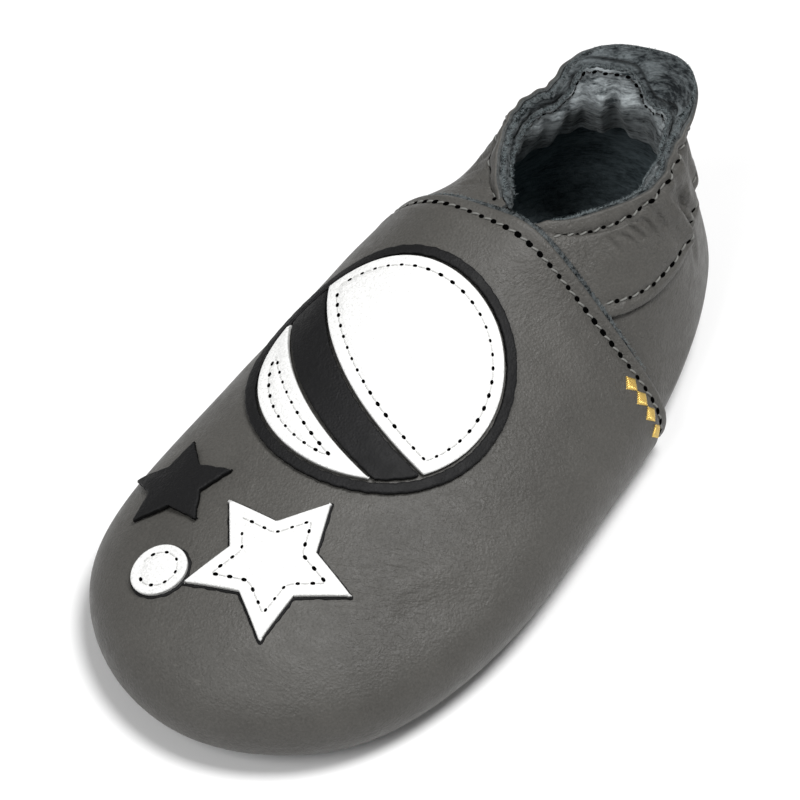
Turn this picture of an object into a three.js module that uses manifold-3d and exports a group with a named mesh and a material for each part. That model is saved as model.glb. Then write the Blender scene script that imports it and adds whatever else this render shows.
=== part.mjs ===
// Soft leather baby slipper, left foot. Millimetres, +Z up, toe towards -Y, outer side of the foot at +X.
import * as THREE from "three";
import { mergeVertices } from "three/addons/utils/BufferGeometryUtils.js";
import Module from "manifold-3d";

const wasm = await Module();
wasm.setup();
const { Manifold, Mesh: SolidMesh } = wasm;

// Sizes of the bare upper, without the layers that lie on it.
const LENGTH = 130.8;
const BALL_WIDTH = 61.4;
const INSTEP_HEIGHT = 35;
const HEEL_HEIGHT = 53;
const COLLAR_REACH = 17;
const COLLAR_CENTRE = 0.3325 * LENGTH;
const LIFT_REACH = 16;
const TOE_TURN = 1.4;
const HALF = LENGTH / 2;

// How the form runs between its sections.
// CLIMB_EASE: slow start of the climb inward from the girth. WALL_SQUARE: how square a bulging wall is.
// RIM_EASE: share of the rim's spread that comes late. RIDGE_LIMIT: largest share of a half width at which
// the crest lies. INNER_LEAN: share of the outer flank's sag that the inner one has.
const CLIMB_EASE = 0.6;
const WALL_SQUARE = 2.2;
const RIM_EASE = 0.5;
const RIDGE_LIMIT = 0.6;
const INNER_LEAN = 0.1;
// The domed front passes into the ankle wall from a little before the vamp's rear edge to behind it.
const JOIN_BEFORE = 3;
const JOIN_BEHIND = 12;

// Thicknesses and gaps.
const WALL = 1.4;
const FIT_GAP = 0.3;
const BUTT_GAP = 0.35;
const VAMP_THICK = 1.3;
const CUFF_THICK = 0.8;
const CASING_THICK = 0.9;
const PATCH_THICK = 0.8;
const SOLE_THICK = 2;
const INSOLE_THICK = 2;
const SOLE_INSET = 2.2;
const TURN_IN = 4.2;
const SOLE_ROUND = 0.6;
const TOE_SPRING = 2;
const ARCH_LIFT = 1;
const HEEL_SPRING = 0.8;
const INSOLE_ROUND = 0.3;
// Where the lifts of the underside begin and end: shares of HALF along the shoe, of BALL_WIDTH across it.
const TOE_TURN_FROM = 0.2;
const TOE_SPRING_FROM = 0.68;
const HEEL_SPRING_FROM = 0.86;
const ARCH = { front: -0.2, full: 0.08, fade: 0.12, back: 0.4, inside: 0.06, outside: 0.4 };

// Where the layers end.
const VAMP_EDGE = 26;
const CASING_DEPTH = 10;
const CASING_TOP = 2.55;
const VAMP_FROM = 0.5;
const CUFF_TOP = 2.94;

// The picture on the vamp: sideways distance over the leather from the centre line, then place along
// the shoe.
const VAMP_CENTRE = -5;
const PATCH_FROM = 2 * FIT_GAP + VAMP_THICK;
const PATCH_GAP = 0.5;
const PLANET_AT = [0, -0.038 * LENGTH];
const PLANET_RADIUS = 19;
const RIM_WIDTH = 1.7;
const STRIPE_WIDTH = 6;
const STRIPE_SAG = 9;
const STRIPE_TURN = -32;
const STRIPE_REACH = 1.4;
const STAR_POINTS = 5;
const STAR_WAIST = 0.52;
const PALE_STAR_AT = [6, -0.3135 * LENGTH];
const PALE_STAR_RADIUS = 13;
const PALE_STAR_TURN = 12;
const DARK_STAR_AT = [-15.5, -0.279 * LENGTH];
const DARK_STAR_RADIUS = 8.5;
const DARK_STAR_TURN = 40;
const MOON_AT = [-7.5, -0.386 * LENGTH];
const MOON_RADIUS = 4.2;

// How finely the forms are divided.
const ROWS_ROUND = 54;
const TURN_STEPS = 4;
const BODY_STEPS = 10;
const RIM_STEPS = 3;
const CASING_STEPS = 2;
const CUT_STEPS = 12;
const ROUND_STEPS = 24;
const OUTLINE_STEPS = 1200;
const SLOPE_ROUND = 0.004;
const SLOPE_UP = 0.03;
const ROW_STEP = 0.01;
const DRAPE_STEP = 0.2;

// Cross sections from toe to heel.
// at: share of LENGTH from the toe. lateral, medial: half widths, shares of BALL_WIDTH.
// crest: top of the section, share of INSTEP_HEIGHT. ridge: sideways place of the crest, share of BALL_WIDTH.
// full: how square the section is. lean: how far the outer flank sags to a slope.
// girth: height of the widest line, in millimetres.
const SECTIONS = [
  { at: 0.03, lateral: 0.222, medial: 0.234, crest: 0.38, ridge: 0.00, full: 2.1, lean: 0.05, girth: 7.0 },
  { at: 0.10, lateral: 0.385, medial: 0.397, crest: 0.49, ridge: -0.01, full: 2.1, lean: 0.10, girth: 7.0 },
  { at: 0.20, lateral: 0.476, medial: 0.468, crest: 0.56, ridge: -0.03, full: 2.15, lean: 0.16, girth: 7.5 },
  { at: 0.32, lateral: 0.510, medial: 0.480, crest: 0.65, ridge: -0.06, full: 2.15, lean: 0.22, girth: 8.0 },
  { at: 0.45, lateral: 0.502, medial: 0.472, crest: 0.78, ridge: -0.09, full: 2.15, lean: 0.28, girth: 8.0 },
  { at: 0.58, lateral: 0.478, medial: 0.459, crest: 0.90, ridge: -0.115, full: 2.15, lean: 0.35, girth: 8.0 },
  { at: 0.70, lateral: 0.450, medial: 0.425, crest: 1.00, ridge: -0.13, full: 2.15, lean: 0.42, girth: 8.0 },
  { at: 0.80, lateral: 0.402, medial: 0.382, crest: 1.10, ridge: -0.11, full: 2.1, lean: 0.46, girth: 9.0 },
  { at: 0.90, lateral: 0.322, medial: 0.308, crest: 1.15, ridge: -0.06, full: 2.0, lean: 0.40, girth: 11.0 },
  { at: 0.97, lateral: 0.200, medial: 0.192, crest: 0.87, ridge: -0.02, full: 2.0, lean: 0.30, girth: 13.0 },
];

// The collar, station by station round its centre.
// turn: degrees, 0 towards the toe, 90 towards the outer side. reach and edge: distance of the elastic
// line and of the rim from the centre, shares of COLLAR_REACH. waist and top: their heights, shares of
// HEEL_HEIGHT.
// bulge: how far the wall below the elastic line stands out before it closes in.
const COLLAR = [
  { turn: 0, reach: 0.97, edge: 0.93, waist: 0.69, top: 0.70, bulge: 0.10 },
  { turn: 36, reach: 0.83, edge: 0.72, waist: 0.65, top: 0.70, bulge: 0.00 },
  { turn: 70, reach: 0.86, edge: 0.75, waist: 0.68, top: 0.74, bulge: 0.00 },
  { turn: 93, reach: 0.92, edge: 0.80, waist: 0.70, top: 0.765, bulge: 0.12 },
  { turn: 115, reach: 0.91, edge: 0.80, waist: 0.72, top: 0.795, bulge: 0.10 },
  { turn: 130, reach: 0.90, edge: 0.93, waist: 0.735, top: 0.83, bulge: 0.08 },
  { turn: 146, reach: 0.88, edge: 1.12, waist: 0.75, top: 0.885, bulge: 0.12 },
  { turn: 160, reach: 0.84, edge: 1.10, waist: 0.76, top: 0.92, bulge: 0.20 },
  { turn: 172, reach: 0.78, edge: 0.98, waist: 0.77, top: 0.93, bulge: 0.30 },
  { turn: 188, reach: 0.72, edge: 0.86, waist: 0.77, top: 0.935, bulge: 0.35 },
  { turn: 209, reach: 0.67, edge: 0.77, waist: 0.765, top: 0.92, bulge: 0.30 },
  { turn: 227, reach: 0.65, edge: 0.69, waist: 0.755, top: 0.885, bulge: 0.25 },
  { turn: 248, reach: 0.65, edge: 0.57, waist: 0.74, top: 0.835, bulge: 0.20 },
  { turn: 262, reach: 0.70, edge: 0.65, waist: 0.73, top: 0.81, bulge: 0.15 },
  { turn: 282, reach: 0.79, edge: 0.72, waist: 0.70, top: 0.77, bulge: 0.08 },
  { turn: 303, reach: 0.84, edge: 0.76, waist: 0.68, top: 0.735, bulge: 0.10 },
  { turn: 321, reach: 0.88, edge: 0.82, waist: 0.665, top: 0.71, bulge: 0.12 },
  { turn: 338, reach: 0.92, edge: 0.90, waist: 0.675, top: 0.70, bulge: 0.11 },
];

// Lower edge of the ankle cuff: height as a share of HEEL_HEIGHT at shares of HALF behind mid length.
const CUFF_SEAM = [
  { back: 0.36, height: 0.48 },
  { back: 0.503, height: 0.45 },
  { back: 0.614, height: 0.465 },
  { back: 0.706, height: 0.495 },
  { back: 0.807, height: 0.53 },
  { back: 0.929, height: 0.56 },
  { back: 1.09, height: 0.57 },
];

const LEATHER = { color: 0x63615f, roughness: 0.62, metalness: 0 };
const SUEDE = { color: 0x53646b, roughness: 0.95, metalness: 0 };
const DARK_SUEDE = { color: 0x2c363b, roughness: 0.95, metalness: 0 };
const WHITE_LEATHER = { color: 0xf2f1ee, roughness: 0.55, metalness: 0 };
const BLACK_LEATHER = { color: 0x1b1b1c, roughness: 0.6, metalness: 0 };

const clamp = (value, low, high) => Math.min(high, Math.max(low, value));
const mix = (a, b, share) => a + (b - a) * share;
const smooth = (from, to, value) => {
  const share = clamp((value - from) / (to - from), 0, 1);
  return share * share * (3 - 2 * share);
};

// Natural cubic spline through the points (xs, ys).
function spline(xs, ys) {
  const last = xs.length - 1;
  const bend = new Array(xs.length).fill(0);
  const factor = new Array(xs.length).fill(0);
  for (let i = 1; i < last; i += 1) {
    const before = xs[i] - xs[i - 1];
    const after = xs[i + 1] - xs[i];
    const pivot = 2 * (before + after) - before * factor[i - 1];
    const turn = 6 * ((ys[i + 1] - ys[i]) / after - (ys[i] - ys[i - 1]) / before);
    factor[i] = after / pivot;
    bend[i] = (turn - before * bend[i - 1]) / pivot;
  }
  for (let i = last - 1; i > 0; i -= 1) {
    bend[i] -= factor[i] * bend[i + 1];
  }
  return (x) => {
    const place = clamp(x, xs[0], xs[last]);
    let i = 0;
    while (i < last - 1 && place > xs[i + 1]) i += 1;
    const step = xs[i + 1] - xs[i];
    const a = (xs[i + 1] - place) / step;
    const b = 1 - a;
    const curve = ((a ** 3 - a) * bend[i] + (b ** 3 - b) * bend[i + 1]) * step * step / 6;
    return a * ys[i] + b * ys[i + 1] + curve;
  };
}

// Sections: values are splined over the angle that runs from toe (0) to heel (1), so both ends close round.
const roundShare = (at) => Math.acos(1 - 2 * at) / Math.PI;
const sectionAngles = SECTIONS.map((row) => roundShare(row.at));
function sectionCurve(value, overWidth) {
  const ys = SECTIONS.map((row, i) => value(row) / (overWidth ? Math.sin(Math.PI * sectionAngles[i]) : 1));
  return spline([0, ...sectionAngles, 1], [ys[0], ...ys, ys[ys.length - 1]]);
}
const lateralAt = sectionCurve((row) => row.lateral * BALL_WIDTH, true);
const medialAt = sectionCurve((row) => row.medial * BALL_WIDTH, true);
const riseAt = sectionCurve((row) => row.crest * INSTEP_HEIGHT - row.girth, true);
const ridgeAt = sectionCurve((row) => row.ridge * BALL_WIDTH, false);
const fullAt = sectionCurve((row) => row.full, false);
const leanAt = sectionCurve((row) => row.lean, false);
const girthAt = sectionCurve((row) => row.girth, false);

const angleOf = (y) => Math.acos(clamp(-y / HALF, -1, 1)) / Math.PI;
const middle = (y) => -TOE_TURN * smooth(TOE_TURN_FROM * HALF, HALF, -y);

// Height of the closed form over the plan point (x, y).
function topHeight(x, y) {
  const s = angleOf(y);
  const open = Math.sin(Math.PI * s);
  const lateral = lateralAt(s) * open;
  const medial = medialAt(s) * open;
  const ridge = clamp(ridgeAt(s), -RIDGE_LIMIT * medial, RIDGE_LIMIT * lateral);
  const across = x - middle(y);
  const outward = across > ridge;
  const span = outward ? lateral - ridge : medial + ridge;
  const share = clamp(Math.abs(across - ridge) / Math.max(span, 1e-6), 0, 1);
  const full = fullAt(s);
  const dome = (1 - share ** full) ** (1 / full);
  const slope = (1 + Math.cos(Math.PI * share)) / 2;
  const lean = outward ? leanAt(s) : INNER_LEAN * leanAt(s);
  return girthAt(s) + riseAt(s) * open * mix(dome, slope, lean);
}

// Widest line of the upper, evenly divided along its length, from the toe round the outer side and back.
function outlinePoint(t) {
  const s = t < 0.5 ? 2 * t : 2 * (1 - t);
  const y = -HALF * Math.cos(Math.PI * s);
  const open = Math.sin(Math.PI * s);
  return [middle(y) + (t < 0.5 ? lateralAt(s) : -medialAt(s)) * open, y];
}
const outlineRun = [0];
for (let i = 1; i <= OUTLINE_STEPS; i += 1) {
  const [ax, ay] = outlinePoint((i - 1) / OUTLINE_STEPS);
  const [bx, by] = outlinePoint(i / OUTLINE_STEPS);
  outlineRun.push(outlineRun[i - 1] + Math.hypot(bx - ax, by - ay));
}
const outlineLength = outlineRun[OUTLINE_STEPS];
function outline(u) {
  const run = (u - Math.floor(u)) * outlineLength;
  let low = 0;
  let high = OUTLINE_STEPS;
  while (high - low > 1) {
    const half = (low + high) >> 1;
    if (outlineRun[half] > run) high = half;
    else low = half;
  }
  const part = (run - outlineRun[low]) / (outlineRun[high] - outlineRun[low]);
  return outlinePoint((low + part) / OUTLINE_STEPS);
}
// The same line moved inward by a distance.
function insetOutline(u, distance) {
  const small = 0.5 / OUTLINE_STEPS;
  const [ax, ay] = outline(u - small);
  const [bx, by] = outline(u + small);
  const [x, y] = outline(u);
  const run = Math.hypot(bx - ax, by - ay);
  return [x - (by - ay) / run * distance, y + (bx - ax) / run * distance];
}

// Underside of the shoe: flat at heel and forefoot, lifted at toe tip, heel end and arch.
function baseHeight(x, y) {
  const toe = TOE_SPRING * smooth(TOE_SPRING_FROM * HALF, HALF, -y);
  const heel = HEEL_SPRING * smooth(HEEL_SPRING_FROM * HALF, HALF, y);
  const rising = smooth(ARCH.front * HALF, ARCH.full * HALF, y);
  const falling = smooth(-ARCH.back * HALF, -ARCH.fade * HALF, -y);
  const across = smooth(ARCH.inside * BALL_WIDTH, ARCH.outside * BALL_WIDTH, -x);
  return toe + heel + ARCH_LIFT * rising * falling * across;
}

// Collar stations are splined round a full turn. The table is repeated on both sides, so the ends meet
// smoothly.
function collarCurve(value) {
  const xs = [];
  const ys = [];
  for (const round of [-360, 0, 360]) {
    for (const row of COLLAR) {
      xs.push(row.turn + round);
      ys.push(value(row));
    }
  }
  return spline(xs, ys);
}
const reachAt = collarCurve((row) => row.reach * COLLAR_REACH);
const edgeAt = collarCurve((row) => row.edge * COLLAR_REACH);
const waistAt = collarCurve((row) => row.waist * HEEL_HEIGHT);
const rimTopAt = collarCurve((row) => row.top * HEEL_HEIGHT);
const bulgeAt = collarCurve((row) => row.bulge);

// Point on the skin of the upper. u runs round the shoe. w runs up a row: 0 to 1 the turned-in foot of the
// wall, 1 to 2 the body up to the elastic line, 2 to 3 the rim.
function skin(u, w) {
  const [gx, gy] = outline(u);
  const girth = girthAt(angleOf(gy));
  if (w <= 1) {
    const angle = clamp(w, 0, 1) * Math.PI / 2;
    const [x, y] = insetOutline(u, TURN_IN * (1 - Math.sin(angle)));
    const [footX, footY] = insetOutline(u, TURN_IN);
    const foot = baseHeight(footX, footY) + SOLE_THICK + FIT_GAP;
    return new THREE.Vector3(x, y, mix(foot, girth, 1 - Math.cos(angle)));
  }
  const away = Math.hypot(gx, gy - COLLAR_CENTRE);
  const dirX = gx / away;
  const dirY = (gy - COLLAR_CENTRE) / away;
  const turn = (Math.atan2(dirX, -dirY) * 180 / Math.PI + 360) % 360;
  const reach = reachAt(turn);
  const waist = waistAt(turn);
  if (w <= 2) {
    const v = w - 1;
    const p = v * v * (1 + CLIMB_EASE - CLIMB_EASE * v);
    const r = mix(away, reach, p);
    const x = dirX * r;
    const y = COLLAR_CENTRE + dirY * r;
    const endHeight = topHeight(dirX * reach, COLLAR_CENTRE + dirY * reach);
    const near = clamp(1 - (r - reach) / LIFT_REACH, 0, 1);
    const formed = topHeight(x, y) + (waist - endHeight) * near * near;
    const bulge = bulgeAt(turn);
    const round = (1 - (1 - p) ** WALL_SQUARE) ** (1 / WALL_SQUARE);
    const walled = girth + (waist - girth) * mix(p, round, bulge);
    const behind = smooth(VAMP_EDGE - JOIN_BEFORE, VAMP_EDGE + JOIN_BEHIND, y);
    return new THREE.Vector3(x, y, mix(formed, walled, behind));
  }
  const v = w - 2;
  const r = mix(reach, edgeAt(turn), mix(v, v * v, RIM_EASE));
  const z = mix(waist, rimTopAt(turn), v);
  return new THREE.Vector3(dirX * r, COLLAR_CENTRE + dirY * r, z);
}
// The skin moved out by a distance along its own normal.
function shell(u, w, distance) {
  const low = Math.max(w - SLOPE_UP, 0);
  const high = Math.min(w + SLOPE_UP, 3);
  const round = skin(u + SLOPE_ROUND, w).sub(skin(u - SLOPE_ROUND, w));
  const up = skin(u, high).sub(skin(u, low));
  return skin(u, w).addScaledVector(round.cross(up).normalize(), distance);
}

// Closed body between an outer and an inner set of rings, each listed from low to high. Both sets are split
// into triangles along the same diagonals, so layers that lie on one another stay evenly apart.
function ringBody(outerRings, innerRings) {
  const rings = [...outerRings, ...innerRings.toReversed()];
  const count = rings[0].length;
  const positions = rings.flat().flatMap((point) => [point.x, point.y, point.z]);
  const faces = [];
  for (let i = 0; i < rings.length; i += 1) {
    const next = (i + 1) % rings.length;
    for (let j = 0; j < count; j += 1) {
      const k = (j + 1) % count;
      const [a, b, c, d] = [i * count + j, i * count + k, next * count + k, next * count + j];
      if (i < outerRings.length) faces.push(a, b, c, a, c, d);
      else faces.push(a, b, d, b, c, d);
    }
  }
  return solid(positions, faces);
}
// Closed body from stacked rings with a flat fan over the first and the last.
function platedBody(rings) {
  const count = rings[0].length;
  const positions = rings.flat().flatMap((point) => [point.x, point.y, point.z]);
  const faces = [];
  for (let i = 0; i + 1 < rings.length; i += 1) {
    for (let j = 0; j < count; j += 1) {
      const k = (j + 1) % count;
      faces.push(i * count + j, i * count + k, (i + 1) * count + k);
      faces.push(i * count + j, (i + 1) * count + k, (i + 1) * count + j);
    }
  }
  const top = (rings.length - 1) * count;
  for (let j = 1; 2 * j <= count; j += 1) {
    const across = (place) => (count - place) % count;
    for (const [start, up] of [[0, false], [top, true]]) {
      const near = [start + j - 1, start + j, start + across(j), start + across(j - 1)];
      for (const [a, b, c] of [[0, 1, 2], [0, 2, 3]]) {
        if (new Set([near[a], near[b], near[c]]).size < 3) continue;
        faces.push(...(up ? [near[a], near[b], near[c]] : [near[a], near[c], near[b]]));
      }
    }
  }
  return solid(positions, faces);
}
function solid(positions, faces) {
  const mesh = new SolidMesh({
    numProp: 3,
    vertProperties: new Float32Array(positions),
    triVerts: new Uint32Array(faces),
  });
  return new Manifold(mesh);
}

const STATIONS = Array.from({ length: ROWS_ROUND }, (_, j) => j / ROWS_ROUND);
const ringAt = (w, distance) => STATIONS.map((u) => shell(u, w, distance));
// Closed layer of the shoe's own form between two distances from the skin, over rings listed from low
// to high.
function layer(path, inner, outer) {
  return ringBody(path.map((w) => ringAt(w, outer)), path.map((w) => ringAt(w, inner)));
}
const divide = (from, to, steps) => Array.from({ length: steps + 1 }, (_, i) => mix(from, to, i / steps));
const TURN_PATH = divide(0, 1, TURN_STEPS);
const BODY_PATH = divide(1, 2, BODY_STEPS).slice(1);
const RIM_PATH = divide(2, 3, RIM_STEPS).slice(1);

// Place on a row that lies a run of leather below the elastic line.
function belowWaist(u, run) {
  let w = 2;
  let done = 0;
  while (done < run && w > 1) {
    done += skin(u, w).distanceTo(skin(u, w - ROW_STEP));
    w -= ROW_STEP;
  }
  return w;
}
// The suede band inside the collar: rings from its lower edge to the raw upper edge.
function casingBody(inner, outer) {
  const lowest = STATIONS.map((u) => belowWaist(u, CASING_DEPTH));
  const below = divide(0, 1, CASING_STEPS).map((share) => lowest.map((from) => mix(from, 2, share)));
  const above = [...RIM_PATH.filter((w) => w < CASING_TOP), CASING_TOP].map((w) => lowest.map(() => w));
  const places = [...below, ...above];
  const ring = (row, distance) => STATIONS.map((u, j) => shell(u, row[j], distance));
  return ringBody(places.map((row) => ring(row, outer)), places.map((row) => ring(row, inner)));
}

// A three.js geometry as a solid, ready to join and cut.
function solidFrom(geometry) {
  geometry.deleteAttribute("normal");
  geometry.deleteAttribute("uv");
  const merged = mergeVertices(geometry);
  return solid(merged.getAttribute("position").array, merged.getIndex().array);
}
// Upright prism over a plan outline, and a prism lying across the shoe over a side outline.
function extruded(points, depth) {
  const shape = new THREE.Shape(points.map(([x, y]) => new THREE.Vector2(x, y)));
  return new THREE.ExtrudeGeometry(shape, { depth, bevelEnabled: false });
}
const prism = (points, low, high) => solidFrom(extruded(points, high - low).translate(0, 0, low));
function sidePrism(points, low, high) {
  const across = new THREE.Matrix4().makeBasis(
    new THREE.Vector3(0, 1, 0),
    new THREE.Vector3(0, 0, 1),
    new THREE.Vector3(1, 0, 0),
  );
  return solidFrom(extruded(points, high - low).translate(0, 0, low).applyMatrix4(across));
}
const FAR = 2 * LENGTH;

// Plan region in front of the vamp's rear edge, moved back by a distance.
function vampRegion(back) {
  const edge = VAMP_EDGE + back;
  return prism([[-FAR, -FAR], [FAR, -FAR], [FAR, edge], [-FAR, edge]], -FAR, FAR);
}
const seamHeight = spline(
  CUFF_SEAM.map((row) => row.back * HALF),
  CUFF_SEAM.map((row) => row.height * HEEL_HEIGHT),
);
function belowSeam() {
  const from = CUFF_SEAM[0].back * HALF;
  const to = CUFF_SEAM[CUFF_SEAM.length - 1].back * HALF;
  const seam = divide(from, to, CUT_STEPS).map((y) => [y, seamHeight(y)]);
  const [frontHeight, backHeight] = [seam[0][1], seam[CUT_STEPS][1]];
  const around = [[-FAR, frontHeight], [-FAR, -FAR], [FAR, -FAR], [FAR, backHeight]];
  return sidePrism([...around, ...seam.toReversed()], -FAR, FAR);
}

const upper = layer([...TURN_PATH, ...BODY_PATH, ...RIM_PATH], -WALL, 0);
const vampPath = [...TURN_PATH.filter((w) => w >= VAMP_FROM), ...BODY_PATH];
const vamp = layer(vampPath, FIT_GAP, FIT_GAP + VAMP_THICK).intersect(vampRegion(0));
const cuffPath = [1, ...BODY_PATH, ...RIM_PATH.slice(0, -1), CUFF_TOP];
const cuff = layer(cuffPath, FIT_GAP, FIT_GAP + CUFF_THICK)
  .subtract(vampRegion(BUTT_GAP))
  .subtract(belowSeam());
const casing = casingBody(-WALL - FIT_GAP - CASING_THICK, -WALL - FIT_GAP);

// Plan point that lies a run of leather to one side of the centre line of the vamp.
function drape([side, y]) {
  let x = middle(y) + VAMP_CENTRE;
  let run = 0;
  while (run < Math.abs(side)) {
    const next = x + DRAPE_STEP * Math.sign(side);
    run += Math.hypot(DRAPE_STEP, topHeight(next, y) - topHeight(x, y));
    x = next;
  }
  return [x, y];
}
const patchSheet = layer([1, ...BODY_PATH], PATCH_FROM, PATCH_FROM + PATCH_THICK);
const turned = (points, [cx, cy], degrees) => points.map(([x, y]) => {
  const angle = degrees * Math.PI / 180;
  return [cx + x * Math.cos(angle) - y * Math.sin(angle), cy + x * Math.sin(angle) + y * Math.cos(angle)];
});
const draped = (points) => prism(points.map(drape), 0, FAR);
const circle = (radius) => Array.from({ length: ROUND_STEPS }, (_, i) => {
  const angle = 2 * Math.PI * i / ROUND_STEPS;
  return [radius * Math.cos(angle), radius * Math.sin(angle)];
});
function star(radius) {
  return Array.from({ length: 2 * STAR_POINTS }, (_, i) => {
    const reach = i % 2 ? radius * STAR_WAIST : radius;
    const angle = Math.PI * i / STAR_POINTS;
    return [reach * Math.cos(angle), reach * Math.sin(angle)];
  });
}
// Region across the planet between two levels, both sagging in the middle.
function band(low, high) {
  const half = STRIPE_REACH * PLANET_RADIUS;
  const sag = (x) => STRIPE_SAG * (1 - (x / half) ** 2);
  const line = (level) => divide(-half, half, CUT_STEPS).map((x) => [x, level - sag(x)]);
  return draped(turned([...line(low), ...line(high).toReversed()], PLANET_AT, STRIPE_TURN));
}
const disc = (radius) => draped(turned(circle(radius), PLANET_AT, 0));
const planet = disc(PLANET_RADIUS);
const planetRim = disc(PLANET_RADIUS + PATCH_GAP + RIM_WIDTH).subtract(disc(PLANET_RADIUS + PATCH_GAP));
const planetUpper = planet.intersect(band(STRIPE_WIDTH / 2 + PATCH_GAP, 2 * PLANET_RADIUS));
const planetLower = planet.intersect(band(-2 * PLANET_RADIUS, -STRIPE_WIDTH / 2 - PATCH_GAP));
const planetStripe = planet.intersect(band(-STRIPE_WIDTH / 2, STRIPE_WIDTH / 2));
const patch = (region) => patchSheet.intersect(region);
const darkStar = draped(turned(star(DARK_STAR_RADIUS), DARK_STAR_AT, DARK_STAR_TURN));
const paleStar = draped(turned(star(PALE_STAR_RADIUS), PALE_STAR_AT, PALE_STAR_TURN));
const moon = draped(turned(circle(MOON_RADIUS), MOON_AT, 0));

function plate(inset, low, high, round) {
  const rings = [];
  for (const [extra, level] of [[round, low], [0, low + round], [0, high]]) {
    rings.push(STATIONS.map((u) => {
      const [x, y] = insetOutline(u, inset + extra);
      return new THREE.Vector3(x, y, level + baseHeight(x, y));
    }));
  }
  return platedBody(rings);
}
const sole = plate(SOLE_INSET, 0, SOLE_THICK, SOLE_ROUND);
const INSOLE_FROM = SOLE_THICK + FIT_GAP;
const insole = plate(TURN_IN + BUTT_GAP, INSOLE_FROM, INSOLE_FROM + INSOLE_THICK, INSOLE_ROUND);

const group = new THREE.Group();
function add(name, body, finish) {
  const made = body.getMesh();
  const count = made.numProp;
  const positions = new Float32Array(made.vertProperties.length / count * 3);
  for (let i = 0; i < made.vertProperties.length / count; i += 1) {
    for (let k = 0; k < 3; k += 1) positions[3 * i + k] = made.vertProperties[count * i + k];
  }
  const geometry = new THREE.BufferGeometry();
  geometry.setAttribute("position", new THREE.BufferAttribute(positions, 3));
  geometry.setIndex(new THREE.BufferAttribute(made.triVerts, 1));
  geometry.computeVertexNormals();
  const mesh = new THREE.Mesh(geometry, new THREE.MeshStandardMaterial(finish));
  mesh.name = name;
  group.add(mesh);
}
add("upper", upper, LEATHER);
add("sole", sole, SUEDE);
add("insole", insole, DARK_SUEDE);
add("vamp", vamp, LEATHER);
add("ankle_cuff", cuff, LEATHER);
add("elastic_casing", casing, SUEDE);
add("planet_upper", patch(planetUpper), WHITE_LEATHER);
add("planet_lower", patch(planetLower), WHITE_LEATHER);
add("planet_stripe", patch(planetStripe), BLACK_LEATHER);
add("planet_rim", patch(planetRim), BLACK_LEATHER);
add("moon", patch(moon), WHITE_LEATHER);
add("dark_star", patch(darkStar), BLACK_LEATHER);
add("pale_star", patch(paleStar), WHITE_LEATHER);

// The origin is on the floor, midway along and across the whole shoe.
const middleOfAll = new THREE.Box3().setFromObject(group).getCenter(new THREE.Vector3());
for (const mesh of group.children) mesh.geometry.translate(-middleOfAll.x, -middleOfAll.y, 0);

export default group;
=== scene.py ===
"""Looks of a soft leather baby slipper, left foot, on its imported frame.

Lengths here are millimetres in the slipper's own form, as in the part. MM turns them into metres.
"""

import math

import bpy
import numpy as np
from mathutils import Matrix, Vector


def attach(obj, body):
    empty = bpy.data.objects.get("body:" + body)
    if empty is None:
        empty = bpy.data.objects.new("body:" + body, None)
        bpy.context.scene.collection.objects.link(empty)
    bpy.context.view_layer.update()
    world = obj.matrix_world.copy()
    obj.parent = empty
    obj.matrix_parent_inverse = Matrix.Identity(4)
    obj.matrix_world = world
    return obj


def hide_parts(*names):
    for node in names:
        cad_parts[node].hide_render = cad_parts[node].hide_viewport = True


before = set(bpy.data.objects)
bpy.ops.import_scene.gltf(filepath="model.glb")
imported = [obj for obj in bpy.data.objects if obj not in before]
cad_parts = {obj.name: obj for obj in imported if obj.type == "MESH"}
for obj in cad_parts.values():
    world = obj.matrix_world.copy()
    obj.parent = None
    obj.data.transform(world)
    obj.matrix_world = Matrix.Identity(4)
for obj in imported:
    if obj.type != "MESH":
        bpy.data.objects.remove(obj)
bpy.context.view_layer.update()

MM = 0.001
# The form's own origin, seen from the frame's: the frame's is midway along and across the whole shoe.
FORM_AT = np.array([-0.75, 0.8, 0.0])

# Sizes of the bare upper.
LENGTH = 130.8
BALL_WIDTH = 61.4
INSTEP_HEIGHT = 35.0
HEEL_HEIGHT = 53.0
COLLAR_REACH = 17.0
COLLAR_CENTRE = 0.3325 * LENGTH
LIFT_REACH = 16.0
TOE_TURN = 1.4
HALF = LENGTH / 2
CLIMB_EASE = 0.6
WALL_SQUARE = 2.2
RIM_EASE = 0.5
RIDGE_LIMIT = 0.6
INNER_LEAN = 0.1
JOIN_BEFORE = 3.0
JOIN_BEHIND = 12.0

# Thicknesses, gaps and ends of the layers.
WALL = 1.4
FIT_GAP = 0.3
BUTT_GAP = 0.35
VAMP_THICK = 1.3
CUFF_THICK = 0.8
CASING_THICK = 0.9
PATCH_THICK = 0.8
SOLE_THICK = 2.0
INSOLE_THICK = 2.0
SOLE_INSET = 2.2
TURN_IN = 4.2
TOE_SPRING = 2.0
ARCH_LIFT = 1.0
HEEL_SPRING = 0.8
TOE_TURN_FROM = 0.2
TOE_SPRING_FROM = 0.68
HEEL_SPRING_FROM = 0.86
ARCH = dict(front=-0.2, full=0.08, fade=0.12, back=0.4, inside=0.06, outside=0.4)
VAMP_EDGE = 26.0
CASING_DEPTH = 10.0
CUFF_TOP = 2.94

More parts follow.
